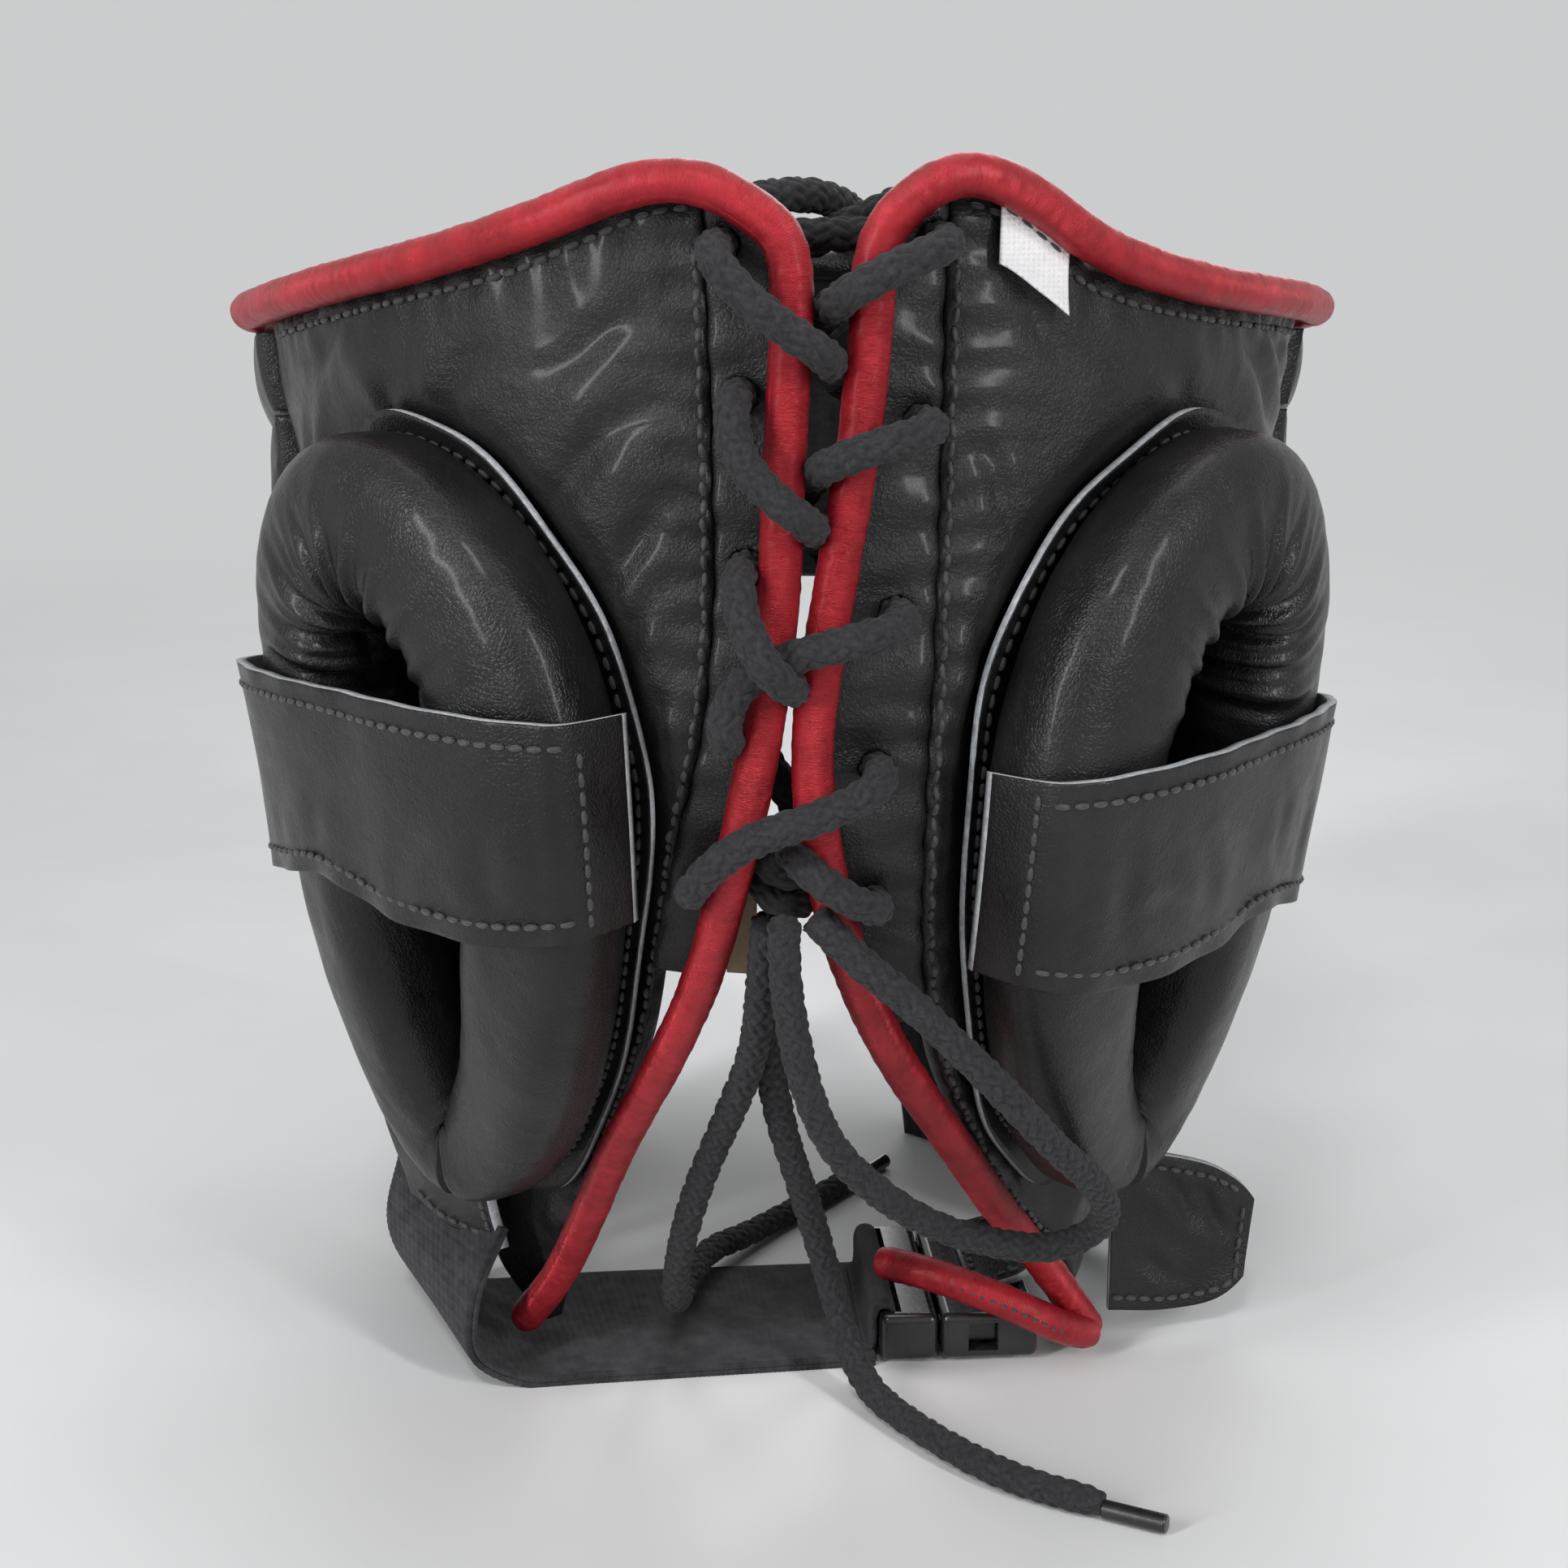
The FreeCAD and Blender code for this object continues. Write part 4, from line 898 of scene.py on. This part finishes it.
def band_place(side, s, t):
    """Distance, height and lift of the ear band, s from back to front and t from bottom to top."""
    w0 = ear_w(side) - EAR_HALF - BASE_MARGIN + 2.5
    w1 = ear_w(side) + EAR_HALF + BASE_MARGIN - 0.5
    w = w0 + (w1 - w0) * s
    rear_top = 166.0 if side < 0 else 155.0
    front_top = 163.0 if side < 0 else 154.0
    top = rear_top + (front_top - rear_top) * s + 1.5 * np.sin(np.pi * s)
    sag = smooth([(0, -0.5), (0.2, -3.0), (0.45, -0.5), (0.62, 4.0), (0.8, 2.5), (1, 1.0)], s)
    height = BAND_REAR_HEIGHT + (BAND_FRONT_HEIGHT - BAND_REAR_HEIGHT) * s
    z = top - (height - sag) * (1 - t)
    profile = smooth([(0, 0), (0.05, 0.80), (0.10, 0.97), (0.17, 1.03), (0.36, 1.02), (0.5, 0.96),
                      (0.64, 1.02), (0.83, 1.03), (0.90, 0.97), (0.95, 0.80), (1, 0)], s)
    rest = SIDE_CROWN - EAR_DIP + BASE_LIFT + BASE_THICKNESS + 2 * ROLL_TALL + 1.2
    edge = SIDE_CROWN + BASE_LIFT + BASE_THICKNESS + 0.6
    lift = edge + (rest - edge) * profile
    return w, z, lift


# Folds of the ear bands, drawn for an ear centre at BAND_FOLDS_W
BAND_FOLDS_W = 87.0
BAND_FOLDS = [(52, 150, 60, 118, 0.7, 3.0), (70, 140, 82, 116, 0.8, 3.4), (96, 146, 106, 124, 0.6, 3.0),
              (60, 128, 84, 120, 0.8, 3.0), (112, 140, 118, 116, 0.6, 3.0)]


def ear_band(side, name):
    s, t = grid(150, 60)
    w, z, lift = band_place(side, s, t)
    spots = np.stack([w, z, 0 * w], -1)
    folds = creases(w - ear_w(side) + BAND_FOLDS_W, z, BAND_FOLDS)
    soft = 0.5 * rough(spots, 22.0, 6.0 * side) + folds * np.sin(np.pi * t)
    wave = 0.5 * np.sin(w * 0.36) * np.exp(-t * 7.0) + 0.25 * np.sin(w * 0.5 + 1.0) * np.exp(-(1 - t) * 9.0)
    hold = np.clip(np.minimum(s, 1 - s) * 14.0, 0, 1)
    outer = on_form(side * w, z, lift + 2.0 + (soft + wave) * hold)
    inner = on_form(side * w, z, lift + (soft + wave) * hold)
    sheet_solid(f"{name}_ear_band_leather", outer, inner, [BLACK, DARK_EDGE, EDGE],
                replaces=[f"{name}_ear_band"], slot="black_leather")


LEFT_HOLES = [(17.2, 246), (14.8, 221), (14.6, 191.3), (17.2, 161), (25.2, 131)]
RIGHT_HOLES = [(16.8, 247), (15.2, 216.2), (11.6, 183), (8.6, 155.2), (9.0, 129)]


def facing_where(side, s, t):
    edge = LEFT_EDGE if side < 0 else RIGHT_EDGE
    seam = LEFT_SEAM if side < 0 else RIGHT_SEAM
    low = 112.0 if side < 0 else 100.0
    z = low + (smooth([(6, 244), (11, 250), (20, 255)], 6.0 + 14.0 * s) - low) * t
    first = smooth(edge, z) + 1.2
    return first + (smooth(seam, z) - first) * s, z


def facing(side, name):
    s, t = grid(40, 240)
    w, z = facing_where(side, s, t)
    spots = np.stack([w, z, 0 * w], -1)
    pucker = np.sin(z * 0.66 + 2.2 * rough(spots, 16.0, 21.0)) * np.exp(-(1 - s) * 1.6)
    off = 0.35 + 0.5 * pucker + 0.8 * rough(spots, 13.0, 27.0 * side) - 1.1 * np.exp(-(1 - s) * 16.0)
    holes = np.zeros(s.shape, bool)
    for hole_w, hole_z in (LEFT_HOLES if side < 0 else RIGHT_HOLES):
        gap = np.hypot(w - hole_w, z - hole_z)
        holes |= gap < HOLE_R
        off = off - 1.2 * np.exp(-((gap / 6.0) ** 2))
    outer = on_form(side * w, z, off)
    inner = on_form(side * w, z, off - 4.4)
    sheet_solid(f"{name}_facing_leather", outer, inner, [BLACK_SOFT, LINING, BLACK], quads_in(holes),
                replaces=[f"{name}_lace_facing"], slot="black_leather")


for side, name in ((-1, "left"), (1, "right")):
    side_pad(side, name)
    cheek_pad(side, name)
    ear_base(side, name)
    ear_roll(side, name)
    ear_band(side, name)
    facing(side, name)
forehead_pad()
crown_tongue()


# Tabs, flap, labels and chin band
def panel_point(side, w, z, lift):
    """A point on the side panel's dressed leather, lift above it."""
    s, t = side_share(side, w, z)
    return on_form(side * w, z, side_outer(side, s, t, w, z) + lift)


def tab_point(s, t, off):
    """Left chin tab: a strap sewn below the ear guard, which carries the chin elastic."""
    w = (1 - s) * (88 - 2 * t) + s * (126 + 6 * t)
    z = (1 - s) * (30 + 16 * t) + s * (36 + 28 * t) + 0.8 * np.sin(9 * s) * (1 - t)
    spots = np.stack([w, z, 0 * w], -1)
    base = (1 - s) * (7 + t) + s * 11
    return on_form(-w, z, base + off + 0.6 * rough(spots, 12.0, 41.0))


FLAP_FOLDS = [(76, 42, 98, 26, 1.2, 2.6), (74, 20, 92, 14, 0.9, 2.4), (88, 36, 103, 22, 1.0, 2.2)]


def flap_point(s, t, off):
    """Right chin flap, curled outward, as in the model but with soft buckles."""
    half = 19.0 * np.sqrt(1 - (0.93 * s) ** 3)
    x = 71.0 + 34.5 * s + 3 * (t - 0.5) * s
    y = -20.6 + 12.5 * s - 5.0 * s * s * (1 - t)
    z = 28.0 - 7 * s + half * (2 * t - 1)
    spots = np.stack([x, z, 0 * x], -1)
    free = np.clip(s * 3, 0, 1)
    folds = creases(x, z, FLAP_FOLDS)
    return np.stack([x, y - off - free * (0.9 * rough(spots, 11.0, 51.0) + folds), z], -1)


def rows_of(surface, s_rows, lift, low=0.04, high=0.96, across=False):
    """Lines on a surface at fixed s (or fixed t when across), for stitches."""
    run = np.linspace(low, high, 120)
    lines = []
    for place in s_rows:
        fixed = np.full(run.shape, place)
        lines.append(surface(fixed, run, lift) if across else surface(run, fixed, lift))
    return lines


s, t = grid(70, 44)
sheet_solid("left_chin_tab_leather", tab_point(s, t, 2.4), tab_point(s, t, 0.0), [BLACK, DARK_EDGE, EDGE],
            replaces=["left_chin_tab"], slot="black_leather")
stitches("left_tab_stitches", rows_of(tab_point, (0.10, 0.90), 2.5)
         + rows_of(tab_point, (0.05,), 2.5, 0.1, 0.9, True), THREAD)
sheet_solid("right_chin_flap_leather", flap_point(s, t, 2.2), flap_point(s, t, 0.0), [BLACK, DARK_EDGE, EDGE],
            body="right_chin_tab", replaces=["right_chin_tab"], slot="black_leather")
flap_edge = [flap_point(np.linspace(0.03, 0.93, 90), np.full(90, place), 2.3) for place in (0.08, 0.92)]
flap_edge.append(flap_point(np.full(60, 0.93), np.linspace(0.08, 0.92, 60), 2.3))
stitches("right_flap_stitches", flap_edge, THREAD, "right_chin_tab")

ELASTIC_BACK = [(0, -64, -29, 36), (0.12, -70.5, -33.5, 21), (0.2, -70.5, -34, 8), (0.28, -60, -33.5, 1.6),
                (0.4, -46, -32.5, 1.35), (0.7, -14, -30.5, 1.35), (1, 17.5, -28.5, 1.35)]
ELASTIC_FRONT = [(0, -88.5, 7, 40), (0.12, -92, 9, 22), (0.2, -87, 13, 8), (0.28, -74, 17, 1.6),
                 (0.4, -56, 18.5, 1.35), (0.7, -18, 19.5, 1.35), (1, 17.5, 20.0, 1.35)]


def elastic_point(s, t, off):
    """A point of the chin band, s along it from the left tab to the buckle and t across it."""
    def middle(at):
        back, front = (np.stack([smooth([(row[0], row[k]) for row in edge], at) for k in (1, 2, 3)], -1)
                       for edge in (ELASTIC_BACK, ELASTIC_FRONT))
        return back, front
    back, front = middle(s)
    ahead = middle(np.minimum(s + 0.01, 1))
    behind = middle(np.maximum(s - 0.01, 0))
    share = t[..., None]
    along = (ahead[0] - behind[0]) * (1 - share) + (ahead[1] - behind[1]) * share
    out = np.cross(along, front - back)
    out /= np.linalg.norm(out, axis=-1)[..., None]
    return back + (front - back) * share + out * np.asarray(off)[..., None]


ELASTIC_LONG = 130.0
ELASTIC_WIDE = 50.0
s, t = grid(420, 60)
edge_gap = np.minimum(t, 1 - t) * ELASTIC_WIDE
ribs = 0.24 * np.abs(np.sin(np.pi * s * ELASTIC_LONG / 1.9)) * np.clip(edge_gap - 1.5, 0, 1)
slant = np.abs(np.sin(np.pi * (s * ELASTIC_LONG / 1.3 + t * ELASTIC_WIDE / 1.3)))
twill = 0.16 * slant * np.clip(2.5 - edge_gap, 0, 1)
WEBS = (("inner", 0.1 + 0 * s, 1.3 + 0.5 * ribs), ("outer", -1.22 - ribs - twill, -0.1 + 0 * s))
for layer, low, high in WEBS:
    band = sheet_solid(f"chin_elastic_{layer}_web", elastic_point(s, t, high), elastic_point(s, t, low),
                       [ELASTIC] * 3, body=None, replaces=[f"chin_elastic_{layer}"], slot="elastic")
    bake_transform(band)


def bent(route, s, off):
    """x and z on a strip bent along a route of (share, x, z), off from its middle face."""
    across = [(share, x) for share, x, z in route]
    rise = [(share, z) for share, x, z in route]
    dx = smooth(across, s + 0.01) - smooth(across, s - 0.01)
    dz = smooth(rise, s + 0.01) - smooth(rise, s - 0.01)
    length = np.hypot(dx, dz)
    return smooth(across, s) - off * dz / length, smooth(rise, s) + off * dx / length


TURN = [(0, 15.4, 2.9), (0.125, 17.2, 3.6), (0.25, 17.6, 6.5), (0.375, 17.6, 10.5), (0.5, 18.3, 12.6),
        (0.625, 19.8, 13.1), (0.75, 21.3, 12.4), (0.875, 21.9, 10.2), (1, 21.9, 5.0)]
STRAP = [(0, 40, 13.6), (0.3, 47, 13.6), (0.5, 52.5, 13.8), (0.62, 55.5, 15.2), (0.75, 57.5, 19), (1, 59, 27)]


def band_turn(s, t, off):
    """Where the elastic is turned round the plug's bar."""
    x, z = bent(TURN, s, off)
    return np.stack([x, -26.0 + 43.6 * t, z], -1)


s, t = grid(60, 40)
sheet_solid("elastic_turn", band_turn(s, t, 0.55 + 0.12 * np.abs(np.sin(60 * s))), band_turn(s, t, -0.45),
            [ELASTIC] * 3, body="buckle_plug", slot="elastic")


def strap_point(s, t, off):
    """Leather strap from the socket's bar up the inside of the right panel."""
    x, z = bent(STRAP, s, off)
    return np.stack([x, -22 + 36 * t + (16 - 4 * t) * s, z], -1)


s, t = grid(60, 40)
sheet_solid("buckle_strap_leather", strap_point(s, t, 0.9), strap_point(s, t, -0.9), [BLACK, BLACK, EDGE],
            replaces=["buckle_strap"], slot="black_leather")
stitches("buckle_strap_stitches", rows_of(strap_point, (0.07, 0.93), 1.0)
         + rows_of(strap_point, (0.08, 0.42), 1.0, 0.07, 0.93, True), THREAD)


def label_point(s, t, off):
    w = 26.0 + 12.5 * s
    lift = 2.2 + off + 1.1 * (1 - t) ** 2 * (0.3 + s)
    return on_form(w, smooth(RIGHT_RIM, w) - 3.6 - 10.5 * (1 - t), lift)


def patch_point(s, t, off):
    return on_form(-14.5 - 6.5 * s, 111.0 + 29.0 * t, off)


s, t = grid(24, 24)
sheet_solid("size_label_cloth", label_point(s, t, 0.5), label_point(s, t, 0.0), [WHITE] * 3,
            replaces=["size_label"], slot="white_label")
stitches("label_stitches", rows_of(label_point, (0.9,), 0.55, 0.05, 0.95), THREAD, thick=0.35)
sheet_solid("inner_patch_cover", patch_point(s, t, -4.7), patch_point(s, t, -5.4), [TAN] * 3,
            replaces=["inner_patch"], slot="tan_patch")

# Stitch rows on the shell
for side, name in ((-1, "left"), (1, "right")):
    seam = LEFT_SEAM if side < 0 else RIGHT_SEAM
    rim = LEFT_RIM if side < 0 else RIGHT_RIM
    heights = np.linspace(22, 248, 260)
    lines = [panel_point(side, smooth(seam, heights) + 1.6, heights, 0.25)]
    places = np.linspace(22, 148, 200)
    lines.append(panel_point(side, places, smooth(rim, places) - PIPING_D / 2 - 1.6, 0.3))
    turn = np.linspace(0, 2 * np.pi, 300)
    share = 0.93
    w, z = base_outline(side, turn, share)
    lines.append(on_form(side * w, z, base_off(side, w, z) + 0.1))
    run = np.linspace(0.05, 0.95, 160)
    for place, high in ((0.10, 2.1), (0.90, 2.1)):
        w, z, lift = band_place(side, run, np.full(run.shape, place))
        lines.append(on_form(side * w, z, lift + high))
    up = np.linspace(0.06, 0.94, 60)
    for place in (0.035, 0.965):
        w, z, lift = band_place(side, np.full(up.shape, place), up)
        lines.append(on_form(side * w, z, lift + 2.2))
    stitches(f"{name}_shell_stitches", lines, THREAD)
tail, _ = even(nurbs_line(PIPING_TAIL), 0.5)
stitches("tail_stitches", [tail[6:-4] + (0.0, -PIPING_D / 2 + 0.1, 0.4)], THREAD,
         length=1.8, gap=0.8, thick=0.45)

# Moulded parts keep their modelled shape
for node in ("buckle_socket", "buckle_plug", "back_release_arm", "front_release_arm",
             "aglet_long", "aglet_short"):
    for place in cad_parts[node].material_slots:
        place.material = PLASTIC

# Floor and light
floor_mesh = bpy.data.meshes.new("floor")
FLOOR_HALF = 8.0
floor_mesh.from_pydata([(x * FLOOR_HALF, y * FLOOR_HALF, 0) for x, y in ((-1, -1), (1, -1), (1, 1), (-1, 1))],
                       [], [(0, 1, 2, 3)])
floor = bpy.data.objects.new("floor", floor_mesh)
bpy.context.scene.collection.objects.link(floor)
n = Nodes("floor")
PALE = (0.60, 0.605, 0.61, 1.0)


def seen_directly(tree):
    """1 for rays from the camera, from a mirror-like face or through glass, otherwise 0."""
    rays = tree.nodes.new("ShaderNodeLightPath")
    total = rays.outputs["Is Camera Ray"]
    for kind in ("Is Glossy Ray", "Is Transmission Ray"):
        most = tree.nodes.new("ShaderNodeMath")
        most.operation = "MAXIMUM"
        tree.links.new(total, most.inputs[0])
        tree.links.new(rays.outputs[kind], most.inputs[1])
        total = most.outputs[0]
    return total


matt = n.ramp(n.noise(9.0, 3.0), (0.3, (0.70, 0.705, 0.71)), (0.7, (0.74, 0.745, 0.75)))
floor_mesh.materials.append(n.finish(matt, Roughness=0.75))
far = n.add("ShaderNodeVectorMath", operation="LENGTH")
n.link(n.where.outputs["Object"], far.inputs[0])
fade = n.add("ShaderNodeMapRange", interpolation_type="SMOOTHSTEP")
n.link(far.outputs["Value"], fade.inputs["Value"])
fade.inputs["From Min"].default_value = 0.35
fade.inputs["From Max"].default_value = 1.5
share = n.add("ShaderNodeMath", operation="MULTIPLY")
n.link(fade.outputs["Result"], share.inputs[0])
n.link(seen_directly(n.tree), share.inputs[1])
glow = n.add("ShaderNodeEmission")
glow.inputs["Color"].default_value = PALE
blend = n.add("ShaderNodeMixShader")
n.link(share.outputs[0], blend.inputs["Fac"])
n.link(n.shader.outputs["BSDF"], blend.inputs[1])
n.link(glow.outputs["Emission"], blend.inputs[2])
n.link(blend.outputs["Shader"], n.tree.nodes["Material Output"].inputs["Surface"])

world = bpy.data.worlds.new("studio")
world.use_nodes = True
sky = world.node_tree
sky.nodes["Background"].inputs["Color"].default_value = (0.86, 0.87, 0.88, 1.0)
sky.nodes["Background"].inputs["Strength"].default_value = 0.24
backdrop = sky.nodes.new("ShaderNodeBackground")
backdrop.inputs["Color"].default_value = PALE
both = sky.nodes.new("ShaderNodeMixShader")
sky.links.new(seen_directly(sky), both.inputs["Fac"])
sky.links.new(sky.nodes["Background"].outputs["Background"], both.inputs[1])
sky.links.new(backdrop.outputs["Background"], both.inputs[2])
sky.links.new(both.outputs["Shader"], sky.nodes["World Output"].inputs["Surface"])
bpy.context.scene.world = world


def lamp(name, place, target, size, power):
    """Soft rectangular light at a place, turned to a target; all in metres and watts."""
    light = bpy.data.lights.new(name, "AREA")
    light.shape = "RECTANGLE"
    light.size, light.size_y = size
    light.energy = power
    holder = bpy.data.objects.new(name, light)
    holder.location = place
    holder.rotation_euler = (Vector(target) - Vector(place)).to_track_quat("-Z", "Y").to_euler()
    bpy.context.scene.collection.objects.link(holder)


lamp("tall_left", (-1.05, -0.80, 0.60), (0, 0, 0.13), (0.10, 0.8), 12.0)
lamp("tall_right", (0.80, -1.00, 0.65), (0, 0, 0.13), (0.09, 0.7), 9.0)
lamp("over_camera", (-0.25, -1.0, 1.25), (0, 0, 0.12), (0.25, 0.12), 5.0)
lamp("top", (0.05, 0.25, 1.45), (0, 0, 0.1), (0.9, 0.6), 6.0)
lamp("front", (0.3, 1.4, 0.8), (0, 0, 0.12), (0.8, 0.8), 5.0)

bpy.context.scene.view_settings.view_transform = "Standard"
